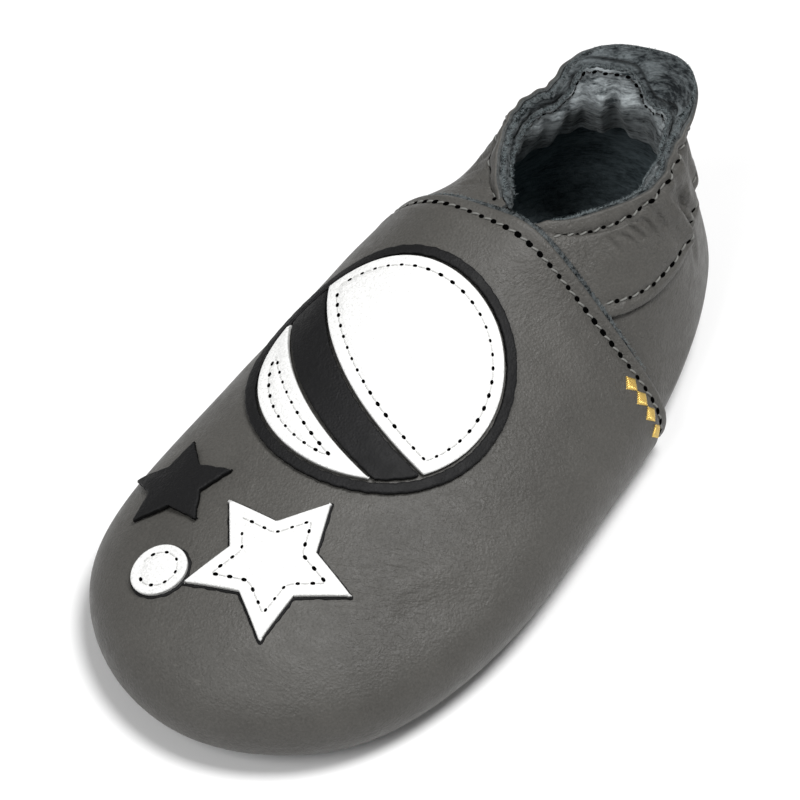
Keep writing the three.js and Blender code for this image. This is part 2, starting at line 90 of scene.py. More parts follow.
# The picture on the vamp.
VAMP_CENTRE = -5.0
PATCH_FROM = 2 * FIT_GAP + VAMP_THICK
PATCH_GAP = 0.5
PLANET_AT = (0.0, -0.038 * LENGTH)
PLANET_RADIUS = 19.0
RIM_WIDTH = 1.7
STRIPE_WIDTH = 6.0
STRIPE_SAG = 9.0
STRIPE_TURN = -32.0
STRIPE_REACH = 1.4
STAR_POINTS = 5
STAR_WAIST = 0.52
PALE_STAR = dict(at=(6.0, -0.3135 * LENGTH), radius=13.0, turn=12.0)
DARK_STAR = dict(at=(-15.5, -0.279 * LENGTH), radius=8.5, turn=40.0)
MOON = dict(at=(-7.5, -0.386 * LENGTH), radius=4.2)



def rows_of(columns, *rows):
    """A table's rows, each with the names of its columns."""
    return [dict(zip(columns.split(), row)) for row in rows]


# Cross sections from toe to heel, as in the part.
SECTIONS = rows_of(
    "at lateral medial crest ridge full lean girth",
    (0.03, 0.222, 0.234, 0.38, 0.00, 2.1, 0.05, 7.0),
    (0.10, 0.385, 0.397, 0.49, -0.01, 2.1, 0.10, 7.0),
    (0.20, 0.476, 0.468, 0.56, -0.03, 2.15, 0.16, 7.5),
    (0.32, 0.510, 0.480, 0.65, -0.06, 2.15, 0.22, 8.0),
    (0.45, 0.502, 0.472, 0.78, -0.09, 2.15, 0.28, 8.0),
    (0.58, 0.478, 0.459, 0.90, -0.115, 2.15, 0.35, 8.0),
    (0.70, 0.450, 0.425, 1.00, -0.13, 2.15, 0.42, 8.0),
    (0.80, 0.402, 0.382, 1.10, -0.11, 2.1, 0.46, 9.0),
    (0.90, 0.322, 0.308, 1.15, -0.06, 2.0, 0.40, 11.0),
    (0.97, 0.200, 0.192, 0.87, -0.02, 2.0, 0.30, 13.0),
)

# The collar, station by station round its centre, as in the part.
COLLAR = rows_of(
    "turn reach edge waist top bulge",
    (0, 0.97, 0.93, 0.69, 0.70, 0.10),
    (36, 0.83, 0.72, 0.65, 0.70, 0.00),
    (70, 0.86, 0.75, 0.68, 0.74, 0.00),
    (93, 0.92, 0.80, 0.70, 0.765, 0.12),
    (115, 0.91, 0.80, 0.72, 0.795, 0.10),
    (130, 0.90, 0.93, 0.735, 0.83, 0.08),
    (146, 0.88, 1.12, 0.75, 0.885, 0.12),
    (160, 0.84, 1.10, 0.76, 0.92, 0.20),
    (172, 0.78, 0.98, 0.77, 0.93, 0.30),
    (188, 0.72, 0.86, 0.77, 0.935, 0.35),
    (209, 0.67, 0.77, 0.765, 0.92, 0.30),
    (227, 0.65, 0.69, 0.755, 0.885, 0.25),
    (248, 0.65, 0.57, 0.74, 0.835, 0.20),
    (262, 0.70, 0.65, 0.73, 0.81, 0.15),
    (282, 0.79, 0.72, 0.70, 0.77, 0.08),
    (303, 0.84, 0.76, 0.68, 0.735, 0.10),
    (321, 0.88, 0.82, 0.665, 0.71, 0.12),
    (338, 0.92, 0.90, 0.675, 0.70, 0.11),
)

# Lower edge of the ankle cuff, as in the part.
CUFF_SEAM = rows_of(
    "back height",
    (0.36, 0.48),
    (0.503, 0.45),
    (0.614, 0.465),
    (0.706, 0.495),
    (0.807, 0.53),
    (0.929, 0.56),
    (1.09, 0.57),
)


def mix(a, b, share):
    return a + (b - a) * share


def smooth(start, end, value):
    share = np.clip((value - start) / (end - start), 0, 1)
    return share * share * (3 - 2 * share)


def ridges(value, rows):
    """Sum of soft ridges and troughs across a line."""
    return sum(row["height"] * np.exp(-(((value - row["at"]) / row["width"]) ** 2)) for row in rows)


def runs(places, counts):
    """Even places from stop to stop, with a count for each run that takes in both its ends."""
    parts = [np.linspace(start, end, count) for start, end, count in zip(places, places[1:], counts)]
    return np.concatenate([part[:-1] for part in parts[:-1]] + parts[-1:])


def spline(xs, ys):
    """Natural cubic spline through the points."""
    xs, ys = np.array(xs, float), np.array(ys, float)
    gaps = np.diff(xs)
    matrix = np.eye(len(xs))
    right = np.zeros(len(xs))
    for i in range(1, len(xs) - 1):
        matrix[i, i - 1:i + 2] = gaps[i - 1], 2 * (gaps[i - 1] + gaps[i]), gaps[i]
        right[i] = 6 * ((ys[i + 1] - ys[i]) / gaps[i] - (ys[i] - ys[i - 1]) / gaps[i - 1])
    bend = np.linalg.solve(matrix, right)

    def at(x):
        place = np.clip(x, xs[0], xs[-1])
        i = np.clip(np.searchsorted(xs, place, side="right") - 1, 0, len(xs) - 2)
        step = gaps[i]
        a = (xs[i + 1] - place) / step
        b = 1 - a
        curve = ((a**3 - a) * bend[i] + (b**3 - b) * bend[i + 1]) * step * step / 6
        return a * ys[i] + b * ys[i + 1] + curve

    return at


# The form.

SECTION_ANGLES = [math.acos(1 - 2 * row["at"]) / math.pi for row in SECTIONS]


def section_curve(value, over_width):
    widths = [math.sin(math.pi * s) if over_width else 1 for s in SECTION_ANGLES]
    ys = [value(row) / width for row, width in zip(SECTIONS, widths)]
    return spline([0] + SECTION_ANGLES + [1], [ys[0]] + ys + [ys[-1]])


lateral_at = section_curve(lambda row: row["lateral"] * BALL_WIDTH, True)
medial_at = section_curve(lambda row: row["medial"] * BALL_WIDTH, True)
rise_at = section_curve(lambda row: row["crest"] * INSTEP_HEIGHT - row["girth"], True)
ridge_at = section_curve(lambda row: row["ridge"] * BALL_WIDTH, False)
full_at = section_curve(lambda row: row["full"], False)
lean_at = section_curve(lambda row: row["lean"], False)
girth_at = section_curve(lambda row: row["girth"], False)


def angle_of(y):
    return np.arccos(np.clip(-y / HALF, -1, 1)) / np.pi


def middle(y):
    return -TOE_TURN * smooth(TOE_TURN_FROM * HALF, HALF, -y)


def top_height(x, y):
    """Height of the closed form over a plan point."""
    s = angle_of(y)
    open_share = np.sin(np.pi * s)
    lateral = lateral_at(s) * open_share
    medial = medial_at(s) * open_share
    ridge = np.clip(ridge_at(s), -RIDGE_LIMIT * medial, RIDGE_LIMIT * lateral)
    across = x - middle(y)
    outward = across > ridge
    span = np.where(outward, lateral - ridge, medial + ridge)
    share = np.clip(np.abs(across - ridge) / np.maximum(span, 1e-6), 0, 1)
    full = full_at(s)
    dome = (1 - share**full) ** (1 / full)
    slope = (1 + np.cos(np.pi * share)) / 2
    lean = np.where(outward, 1, INNER_LEAN) * lean_at(s)
    return girth_at(s) + rise_at(s) * open_share * mix(dome, slope, lean)


def outline_point(t):
    s = np.where(t < 0.5, 2 * t, 2 * (1 - t))
    y = -HALF * np.cos(np.pi * s)
    open_share = np.sin(np.pi * s)
    return middle(y) + np.where(t < 0.5, lateral_at(s), -medial_at(s)) * open_share, y


OUTLINE_STEPS = 1200
outline_t = np.linspace(0, 1, OUTLINE_STEPS + 1)
outline_x, outline_y = outline_point(outline_t)
outline_run = np.concatenate([[0], np.cumsum(np.hypot(np.diff(outline_x), np.diff(outline_y)))])


def outline(u):
    """Widest line of the upper, from the toe round the outer side and back, u from 0 to 1."""
    return outline_point(np.interp((u - np.floor(u)) * outline_run[-1], outline_run, outline_t))


def inset_outline(u, distance):
    small = 0.5 / OUTLINE_STEPS
    ax, ay = outline(u - small)
    bx, by = outline(u + small)
    x, y = outline(u)
    run = np.hypot(bx - ax, by - ay)
    return x - (by - ay) / run * distance, y + (bx - ax) / run * distance


def base_height(x, y):
    """Underside of the shoe: flat at heel and forefoot, lifted at toe tip, heel end and arch."""
    toe = TOE_SPRING * smooth(TOE_SPRING_FROM * HALF, HALF, -y)
    heel = HEEL_SPRING * smooth(HEEL_SPRING_FROM * HALF, HALF, y)
    rising = smooth(ARCH["front"] * HALF, ARCH["full"] * HALF, y)
    falling = smooth(-ARCH["back"] * HALF, -ARCH["fade"] * HALF, -y)
    across = smooth(ARCH["inside"] * BALL_WIDTH, ARCH["outside"] * BALL_WIDTH, -x)
    return toe + heel + ARCH_LIFT * rising * falling * across


def turn_curve(rows, name, scale=1):
    """Smooth curve round the collar through one column of a table."""
    xs = [row["turn"] + turns for turns in (-360, 0, 360) for row in rows]
    return spline(xs, [row[name] * scale for row in rows] * 3)


reach_at = turn_curve(COLLAR, "reach", COLLAR_REACH)
edge_at = turn_curve(COLLAR, "edge", COLLAR_REACH)
waist_at = turn_curve(COLLAR, "waist", HEEL_HEIGHT)
rim_top_at = turn_curve(COLLAR, "top", HEEL_HEIGHT)
bulge_at = turn_curve(COLLAR, "bulge")


def turn_of(x, y):
    """Angle round the collar's centre: 0 towards the toe, 90 towards the outer side."""
    return np.degrees(np.arctan2(x, COLLAR_CENTRE - y)) % 360


def skin(u, w):
    """Point on the bare upper. w from 0 to 1 is the turned-in foot, to 2 the body, to 3 the rim."""
    u, w = np.broadcast_arrays(np.asarray(u, float), np.asarray(w, float))
    gx, gy = outline(u)
    girth = girth_at(angle_of(gy))
    angle = np.clip(w, 0, 1) * np.pi / 2
    foot_x, foot_y = inset_outline(u, TURN_IN)
    foot = base_height(foot_x, foot_y) + SOLE_THICK + FIT_GAP
    low_x, low_y = inset_outline(u, TURN_IN * (1 - np.sin(angle)))
    low = np.stack([low_x, low_y, mix(foot, girth, 1 - np.cos(angle))], -1)

    away = np.hypot(gx, gy - COLLAR_CENTRE)
    dir_x, dir_y = gx / away, (gy - COLLAR_CENTRE) / away
    turn = turn_of(gx, gy)
    reach, waist = reach_at(turn), waist_at(turn)
    v = np.clip(w - 1, 0, 1)
    p = v * v * (1 + CLIMB_EASE - CLIMB_EASE * v)
    r = mix(away, reach, p)
    x, y = dir_x * r, COLLAR_CENTRE + dir_y * r
    end_height = top_height(dir_x * reach, COLLAR_CENTRE + dir_y * reach)
    near = np.clip(1 - (r - reach) / LIFT_REACH, 0, 1)
    formed = top_height(x, y) + (waist - end_height) * near * near
    rounded = (1 - (1 - p) ** WALL_SQUARE) ** (1 / WALL_SQUARE)
    walled = girth + (waist - girth) * mix(p, rounded, bulge_at(turn))
    behind = smooth(VAMP_EDGE - JOIN_BEFORE, VAMP_EDGE + JOIN_BEHIND, y)
    body = np.stack([x, y, mix(formed, walled, behind)], -1)

    v = np.clip(w - 2, 0, 1)
    r = mix(reach, edge_at(turn), mix(v, v * v, RIM_EASE))
    rim = np.stack([dir_x * r, COLLAR_CENTRE + dir_y * r, mix(waist, rim_top_at(turn), v)], -1)
    return np.where((w <= 1)[..., None], low, np.where((w <= 2)[..., None], body, rim))


SLOPE_ROUND = 0.004
SLOPE_UP = 0.03


def normal(u, w):
    low, high = np.maximum(w - SLOPE_UP, 0), np.minimum(w + SLOPE_UP, 3)
    round_way = skin(u + SLOPE_ROUND, w) - skin(u - SLOPE_ROUND, w)
    up_way = skin(u, high) - skin(u, low)
    out = np.cross(round_way, up_way)
    return out / np.linalg.norm(out, axis=-1, keepdims=True)


# Tables for going from a place on the leather to u and w and back.
COLUMNS = 720
column_u = np.linspace(0, 1, COLUMNS + 1)
ROW_W = np.linspace(0, 3, 301)
column_skin = skin(column_u[:, None], ROW_W[None, :])
row_steps = np.linalg.norm(np.diff(column_skin, axis=1), axis=-1)
row_run = np.concatenate([np.zeros((COLUMNS + 1, 1)), np.cumsum(row_steps, axis=1)], axis=1)
WAIST_ROW = 200
below_table = row_run[:, WAIST_ROW:WAIST_ROW + 1] - row_run
outline_turn = np.degrees(np.unwrap(np.radians(turn_of(*outline(column_u)))))
outline_turn -= 360 * np.round(outline_turn[0] / 360)
outline_away = np.hypot(outline(column_u)[0], outline(column_u)[1] - COLLAR_CENTRE)


def table_at(table, column, row):
    """Value of a table between its columns and rows."""
    column = np.clip(column, 0, table.shape[0] - 1.001)
    row = np.clip(row, 0, table.shape[1] - 1.001)
    i, j = column.astype(int), row.astype(int)
    a, b = column - i, row - j
    return mix(mix(table[i, j], table[i + 1, j], a), mix(table[i, j + 1], table[i + 1, j + 1], a), b)


def below(u, w):
    """Run of leather from a place down from the elastic line, negative above it."""
    return table_at(below_table, (u % 1) * COLUMNS, np.asarray(w) * 100)


RUN_STEP = 0.25
run_grid = np.arange(-16, 116, RUN_STEP)
w_table = np.array([np.interp(-run_grid, -line, ROW_W) for line in below_table])


def w_below(u, run):
    """The w of the place that lies a run of leather below the elastic line."""
    return table_at(w_table, (np.asarray(u) % 1) * COLUMNS, (np.asarray(run) - run_grid[0]) / RUN_STEP)


def u_of_turn(turn):
    return np.interp((turn - outline_turn[0]) % 360 + outline_turn[0], outline_turn, column_u)


climb_v = np.linspace(0, 1, 400)
climb_p = climb_v**2 * (1 + CLIMB_EASE - CLIMB_EASE * climb_v)


def uw_of_plan(x, y):
    """u and w of the body place over a plan point."""
    turn = turn_of(x, y)
    u = u_of_turn(turn)
    away = np.interp((turn - outline_turn[0]) % 360 + outline_turn[0], outline_turn, outline_away)
    reach = reach_at(turn)
    p = np.clip((away - np.hypot(x, y - COLLAR_CENTRE)) / (away - reach), 0, 1)
    return u, 1 + np.interp(p, climb_p, climb_v)


# The row of stitches round the collar: how far it runs below the elastic line, in millimetres, and how high
# the leather puckers beside it.
STITCH_ROW = rows_of(
    "turn down pucker",
    (0, 2.6, 0.05),
    (10, 1.5, 0.06),
    (22, 0.4, 0.08),
    (40, -0.6, 0.14),
    (60, -1.0, 0.24),
    (75, -1.7, 0.4),
    (90, -2.4, 0.5),
    (105, -2.6, 0.5),
    (125, -2.4, 0.5),
    (139, -2.3, 0.45),
    (150, -1.1, 0.4),
    (162, -0.6, 0.4),
    (171, -2.4, 0.4),
    (178, -4.0, 0.35),
    (190, -4.7, 0.35),
    (205, -5.3, 0.35),
    (222, -5.4, 0.35),
    (235, -4.3, 0.4),
    (250, -2.9, 0.45),
    (265, -2.3, 0.45),
    (285, -2.0, 0.4),
    (300, -1.0, 0.35),
    (320, 0.0, 0.25),
    (340, 1.4, 0.1),
)
stitch_down = turn_curve(STITCH_ROW, "down")
pucker_at = turn_curve(STITCH_ROW, "pucker")
PUCKER_PITCH = 3.4
PUCKER_RADIUS = 0.85 * COLLAR_REACH
# The puckers' spacing wanders: how far, over how many millimetres, and from what phase.
PUCKER_DRIFT = rows_of("reach over phase", (1.3, 5.1, 0.0), (0.9, 2.9, 1.0))
PUCKER_FADE = dict(under=2.6, over=1.3)
STITCH_CHANNEL = rows_of("at width height", (0.0, 0.7, -0.4))
# The casing's raw edge stands this far above the stitches.
CASING_SEAM = 0.9

# Folds and creases of the ankle, each a soft trough or ridge laid between two places.
# turn, to_turn: degrees round the collar. down, to_down: millimetres below the elastic line. width:
# millimetres. rise: height of the ridge, negative for a trough. bow: how far its middle bends aside.
FOLDS = rows_of(
    "turn down to_turn to_down width rise bow",
    (93, -1.5, 103, 13, 0.9, -1.15, 0.5),
    (88, 0.5, 98, 12, 1.6, 0.75, 0.5),
    (99, -2, 110, 10, 0.9, -1.0, -0.5),
    (105, 1, 99, 10, 0.8, -0.7, 0.3),
    (107, 9, 103, 19, 1.3, -0.4, 0.4),
    (26, 2.5, 30, 7.5, 0.45, -0.30, 0.2),
    (30, 2.0, 34, 6.0, 0.4, -0.24, 0.1),
    (34, 1.2, 37, 5.0, 0.45, -0.22, 0.0),
    (47, 1.0, 55, 4.5, 0.5, -0.30, 0.3),
    (53, 0.8, 64, 3.6, 0.5, -0.33, 0.3),
    (62, 0.3, 70, 4.2, 0.55, -0.38, 0.2),
    (70, -0.4, 77, 4.6, 0.6, -0.48, 0.2),
    (79, -1.0, 83, 4.8, 0.65, -0.4, 0.0),
    (50, 13.2, 62, 10.6, 0.5, 0.2, 0.7),
    (62, 10.6, 69, 12.6, 0.5, 0.18, 0.4),
    (52, 13.8, 67, 13.4, 0.6, -0.2, -0.5),
    (72, 7.5, 86, 9.5, 1.8, 0.3, 0.5),
    (116, -1.5, 121, 11, 1.0, -0.75, 0.4),
    (127, -1.5, 126, 13, 1.1, -0.8, -0.4),
    (138, -1, 141, 12, 1.1, -0.8, 0.4),
    (151, 0, 150, 14, 1.2, -0.8, -0.3),
    (166, -1, 168, 14, 1.2, -0.75, 0.3),
    (182, -3, 180, 14, 1.3, -0.7, -0.3),
    (198, -4, 200, 14, 1.2, -0.75, 0.4),
    (214, -4, 213, 13, 1.2, -0.8, -0.3),
    (231, -3, 228, 12, 1.1, -0.8, 0.3),
    (246, -2, 243, 11, 1.1, -0.75, -0.3),
    (260, -1, 256, 10, 1.0, -0.65, 0.3),
    (273, -1, 268, 9, 0.9, -0.55, 0.0),
    (284, -0.5, 279, 7, 0.7, -0.5, 0.3),
    (292, 0.0, 288, 6, 0.6, -0.45, 0.0),
    (300, 0.5, 297, 6, 0.55, -0.4, 0.2),
    (309, 1.0, 304, 7, 0.6, -0.35, -0.2),
    (318, 1.5, 314, 6, 0.5, -0.3, 0.2),
)

# Soft dents and swellings of the vamp between two places: sideways from the centre line and along the shoe.
VAMP_FOLDS = rows_of(
    "x y to_x to_y width rise",
    (15, -36, 23, -21, 2.6, 0.35),
    (19, -39, 28, -24, 2.8, -0.35),
    (22, -18, 27, 2, 3.5, -0.2),
    (20, 4, 27, 17, 3.0, -0.25),
    (9, 19, 22, 17, 3.2, 0.25),
    (-24, -30, -17, -52, 3.0, -0.25),
    (-29, -8, -26, 14, 3.4, -0.3),
    (-2, -58, 14, -57, 2.6, -0.2),
)


def fold_profile(along, across, width, rise):
    """A trough with soft shoulders that fades at both ends, or a ridge the same way round."""
    t = across / width
    fade = smooth(-0.12, 0.28, along) * smooth(-0.12, 0.28, 1 - along)
    return rise * (1 - 0.7 * t * t) * np.exp(-t * t / 1.4) * fade


def between(px, py, qx, qy, bow=0.0):
    """Share of the way from nothing to q, and how far aside."""
    run = qx * qx + qy * qy
    along = (px * qx + py * qy) / run
    across = (px * qy - py * qx) / np.sqrt(run) - bow * 4 * along * (1 - along)
    return along, across


def fold_relief(turn, down, away):
    total = np.zeros_like(down)
    for row in FOLDS:
        side = np.radians((turn - row["turn"] + 180) % 360 - 180) * away
        far_side = math.radians(row["to_turn"] - row["turn"]) * away
        along, across = between(side, down - row["down"], far_side, row["to_down"] - row["down"], row["bow"])
        total = total + fold_profile(along, across, row["width"], row["rise"])
    return total


def vamp_relief(x, y):
    total = np.zeros_like(x)
    for row in VAMP_FOLDS:
        along, across = between(x - row["x"], y - row["y"], row["to_x"] - row["x"], row["to_y"] - row["y"])
        total = total + fold_profile(along, across, row["width"], row["rise"])
    return total


def relief(u, w):
    """How far gathers and folds lift the leather off the plain form."""
    turn = turn_of(*outline(u))
    down = below(u, w)
    place = skin(u, w)
    away = np.hypot(place[..., 0], place[..., 1] - COLLAR_CENTRE)
    row = stitch_down(turn)
    round_run = np.radians(turn) * PUCKER_RADIUS
    drift = sum(step["reach"] * np.sin(round_run / step["over"] + step["phase"]) for step in PUCKER_DRIFT)
    phase = 2 * np.pi * round_run / PUCKER_PITCH + drift
    under = np.exp(-np.clip(down - row, 0, None) / PUCKER_FADE["under"])
    over = np.exp(-np.clip(row - down, 0, None) / PUCKER_FADE["over"])
    pucker = pucker_at(turn) * np.cos(phase) * under * over
    channel = ridges(down - row, STITCH_CHANNEL)
    behind = smooth(VAMP_EDGE + 0.5, VAMP_EDGE + 4, place[..., 1])
    ankle = (pucker + channel + fold_relief(turn, down, away)) * behind
    front = smooth(1.0, 1.15, w) * (1 - smooth(VAMP_EDGE - 6, VAMP_EDGE - 1, place[..., 1]))
    return ankle + vamp_relief(place[..., 0], place[..., 1]) * front


# The share of the folds that the inner faces show.
INNER_SHARE = 0.35


def hide(u, w, height, share=1.0):
    """Point of the leather or suede a height off the bare form, with a share of its folds."""
    return skin(u, w) + normal(u, w) * (np.asarray(height) + share * relief(u, w))[..., None]


# Meshes.

STORE = bpy.context.scene.collection


def new_mesh(name, points, face_sets, materials, slots=None):
    """A mesh from points and sets of faces, each set an array with one face in a row."""
    mesh = bpy.data.meshes.new(name)
    face_sets = [np.asarray(faces, np.int32) for faces in face_sets]
    corners = np.concatenate([faces.ravel() for faces in face_sets])
    sizes = np.concatenate([np.full(len(faces), faces.shape[1]) for faces in face_sets])
    mesh.vertices.add(len(points))
    mesh.vertices.foreach_set("co", ((np.asarray(points) + FORM_AT) * MM).ravel())
    mesh.loops.add(len(corners))
    mesh.loops.foreach_set("vertex_index", corners)
    mesh.polygons.add(len(sizes))
    mesh.polygons.foreach_set("loop_start", np.concatenate([[0], np.cumsum(sizes)[:-1]]))
    for material in materials:
        mesh.materials.append(material)
    if slots is not None:
        mesh.polygons.foreach_set("material_index", np.asarray(slots, np.int32))
    mesh.polygons.foreach_set("use_smooth", np.full(len(sizes), True))
    mesh.update(calc_edges=True)
    mesh.validate()
    thing = bpy.data.objects.new(name, mesh)
    STORE.objects.link(thing)
    return thing


def wear(thing, slot, nodes=()):
    """Hangs a piece on the shoe and hides the nodes it stands for. The finish it is given is not used."""
    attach(thing, "root")
    if nodes:
        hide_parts(*nodes)
    return thing


def ring_faces(rows, columns, closed_rows):
    """Faces of stacked rings. Rings run against the clock seen from above, low ones first on the outside."""
    i, j = np.meshgrid(np.arange(rows if closed_rows else rows - 1), np.arange(columns), indexing="ij")
    k, m = (i + 1) % rows, (j + 1) % columns
    corners = [i * columns + j, i * columns + m, k * columns + m, k * columns + j]
    return np.stack([corner.ravel() for corner in corners], 1)


class Sheet:
    """Triangles over two parameters, which a field can cut."""

    def __init__(self, params, tris):
        self.params = params
        self.tris = tris
        self.marked = {}

    @classmethod
    def grid(cls, first, second):
        a, b = np.meshgrid(first, second, indexing="ij")
        rows, columns = a.shape
        i, j = np.meshgrid(np.arange(rows - 1), np.arange(columns - 1), indexing="ij")
        p = (i * columns + j).ravel()
        q, r, s = p + columns, p + columns + 1, p + 1
        tris = np.concatenate([np.stack([p, q, r], 1), np.stack([p, r, s], 1)])
        return cls(np.stack([a.ravel(), b.ravel()], 1), tris)

    def split(self, field, level):
        """Adds points where the field has this level, so that edges run along it."""
        value = field(self.params) - level
        value[np.abs(value) < 1e-7] = 1e-7
        plus = value > 0
        kinds = plus[self.tris].sum(1)
        crossed = (kinds == 1) | (kinds == 2)
        cut = self.tris[crossed]
        lone_plus = kinds[crossed] == 1
        lone = np.argmax(plus[cut] == lone_plus[:, None], axis=1)
        rows = np.arange(len(cut))
        a, b, c = cut[rows, lone], cut[rows, (lone + 1) % 3], cut[rows, (lone + 2) % 3]
        edges = np.sort(np.concatenate([np.stack([a, b], 1), np.stack([a, c], 1)]), axis=1)
        unique, place = np.unique(edges, axis=0, return_inverse=True)
        place = place.ravel()
        share = value[unique[:, 0]] / (value[unique[:, 0]] - value[unique[:, 1]])
        made = mix(self.params[unique[:, 0]], self.params[unique[:, 1]], share[:, None])
        first = len(self.params)
        ab, ac = first + place[:len(cut)], first + place[len(cut):]
        pieces = [np.stack([a, ab, ac], 1), np.stack([ab, b, c], 1), np.stack([ab, c, ac], 1)]
        self.params = np.concatenate([self.params, made])
        self.tris = np.concatenate([self.tris[~crossed]] + pieces)
        self.marked[level] = np.zeros(0, bool)
        for known, mark in self.marked.items():
            added = np.full(len(self.params) - len(mark), False)
            if known == level:
                added[-len(made):] = True
            self.marked[known] = np.concatenate([mark, added])

    def keep(self, field, level=0.0):
        """Drops what lies below the level."""
        centres = self.params[self.tris].mean(1)
        self.tris = self.tris[field(centres) > level]
        used = np.unique(self.tris)
        number = np.full(len(self.params), -1)
        number[used] = np.arange(len(used))
        self.params = self.params[used]
        self.tris = number[self.tris]
        self.marked = {level: mark[used] for level, mark in self.marked.items()}

    def border(self):
        """Directed edges that one triangle alone has."""
        edges = np.concatenate([self.tris[:, [0, 1]], self.tris[:, [1, 2]], self.tris[:, [2, 0]]])
        key = np.sort(edges, axis=1)
        place, count = np.unique(key, axis=0, return_inverse=True, return_counts=True)[1:]
        return edges[count[place.ravel()] == 1]

    def lines(self, level):
        """Chains of points along a level that the sheet was split at."""
        on = self.marked[level]
        edges = np.concatenate([self.tris[:, [0, 1]], self.tris[:, [1, 2]], self.tris[:, [2, 0]]])
        edges = np.unique(np.sort(edges[on[edges].all(1)], axis=1), axis=0)
        return [self.params[chain] for chain in chains(edges)]


def chains(edges):
    """Edges joined end to end into lists of points, longest first."""
    after = {}
    for a, b in edges:
        after.setdefault(int(a), []).append(int(b))
        after.setdefault(int(b), []).append(int(a))
    left = set(after)
    found = []
    while left:
        start = next((p for p in sorted(left) if len(after[p]) == 1), min(left))
        line = [start]
        left.discard(start)
        while True:
            step = [p for p in after[line[-1]] if p in left]
            if not step:
                break
            line.append(step[0])
            left.discard(step[0])
        if len(line) > 2 and start in after[line[-1]]:
            line.append(start)
        found.append(line)
    return sorted(found, key=len, reverse=True)


EDGE_LEVELS = (0.0, 0.08, 0.22, 0.45, 0.8)


def slab(name, sheet, place, field, top, bottom, edge_round, materials, extra_levels=()):
    """Sheet of leather between two heights, cut by a field, with rounded raw edges. Its edge wears the second
    material. Returns the piece and the sheet."""
    levels = sorted(set(EDGE_LEVELS) | set(extra_levels))
    for level in levels:
        sheet.split(field, level)
    sheet.keep(field)
    inside = np.clip(field(sheet.params), 0, edge_round)
    drop = edge_round - np.sqrt(np.maximum(edge_round**2 - (edge_round - inside) ** 2, 0))
    high = place(sheet.params, top(sheet.params) - drop)
    border = sheet.border()
    rim = np.unique(border)
    number = np.full(len(sheet.params), -1)
    number[rim] = np.arange(len(rim))
    floor = np.full(len(rim), float(bottom))
    side_height = mix(floor, top(sheet.params[rim]) - edge_round, 0.5)
    walls = [place(sheet.params[rim], side_height), place(sheet.params[rim], floor)]
    points = np.concatenate([high] + walls)
    rows = [rim, len(high) + np.arange(len(rim)), len(high) + len(rim) + np.arange(len(rim))]
    a, b = number[border[:, 0]], number[border[:, 1]]
    walls = [np.stack([up[b], up[a], low[a], low[b]], 1) for up, low in zip(rows, rows[1:])]
    slots = np.repeat([0, 1], [len(sheet.tris), 2 * len(border)])
    return new_mesh(name, points, [sheet.tris] + walls, materials, slots), sheet


# Materials.


def material(name, colour, roughness, **sockets):
    made = bpy.data.materials.new(name)
    made.use_nodes = True
    shader = made.node_tree.nodes["Principled BSDF"]
    shader.inputs["Base Color"].default_value = (*colour, 1)
    shader.inputs["Roughness"].default_value = roughness
    for socket, value in sockets.items():
        shader.inputs[socket.replace("_", " ")].default_value = value
    return made, shader


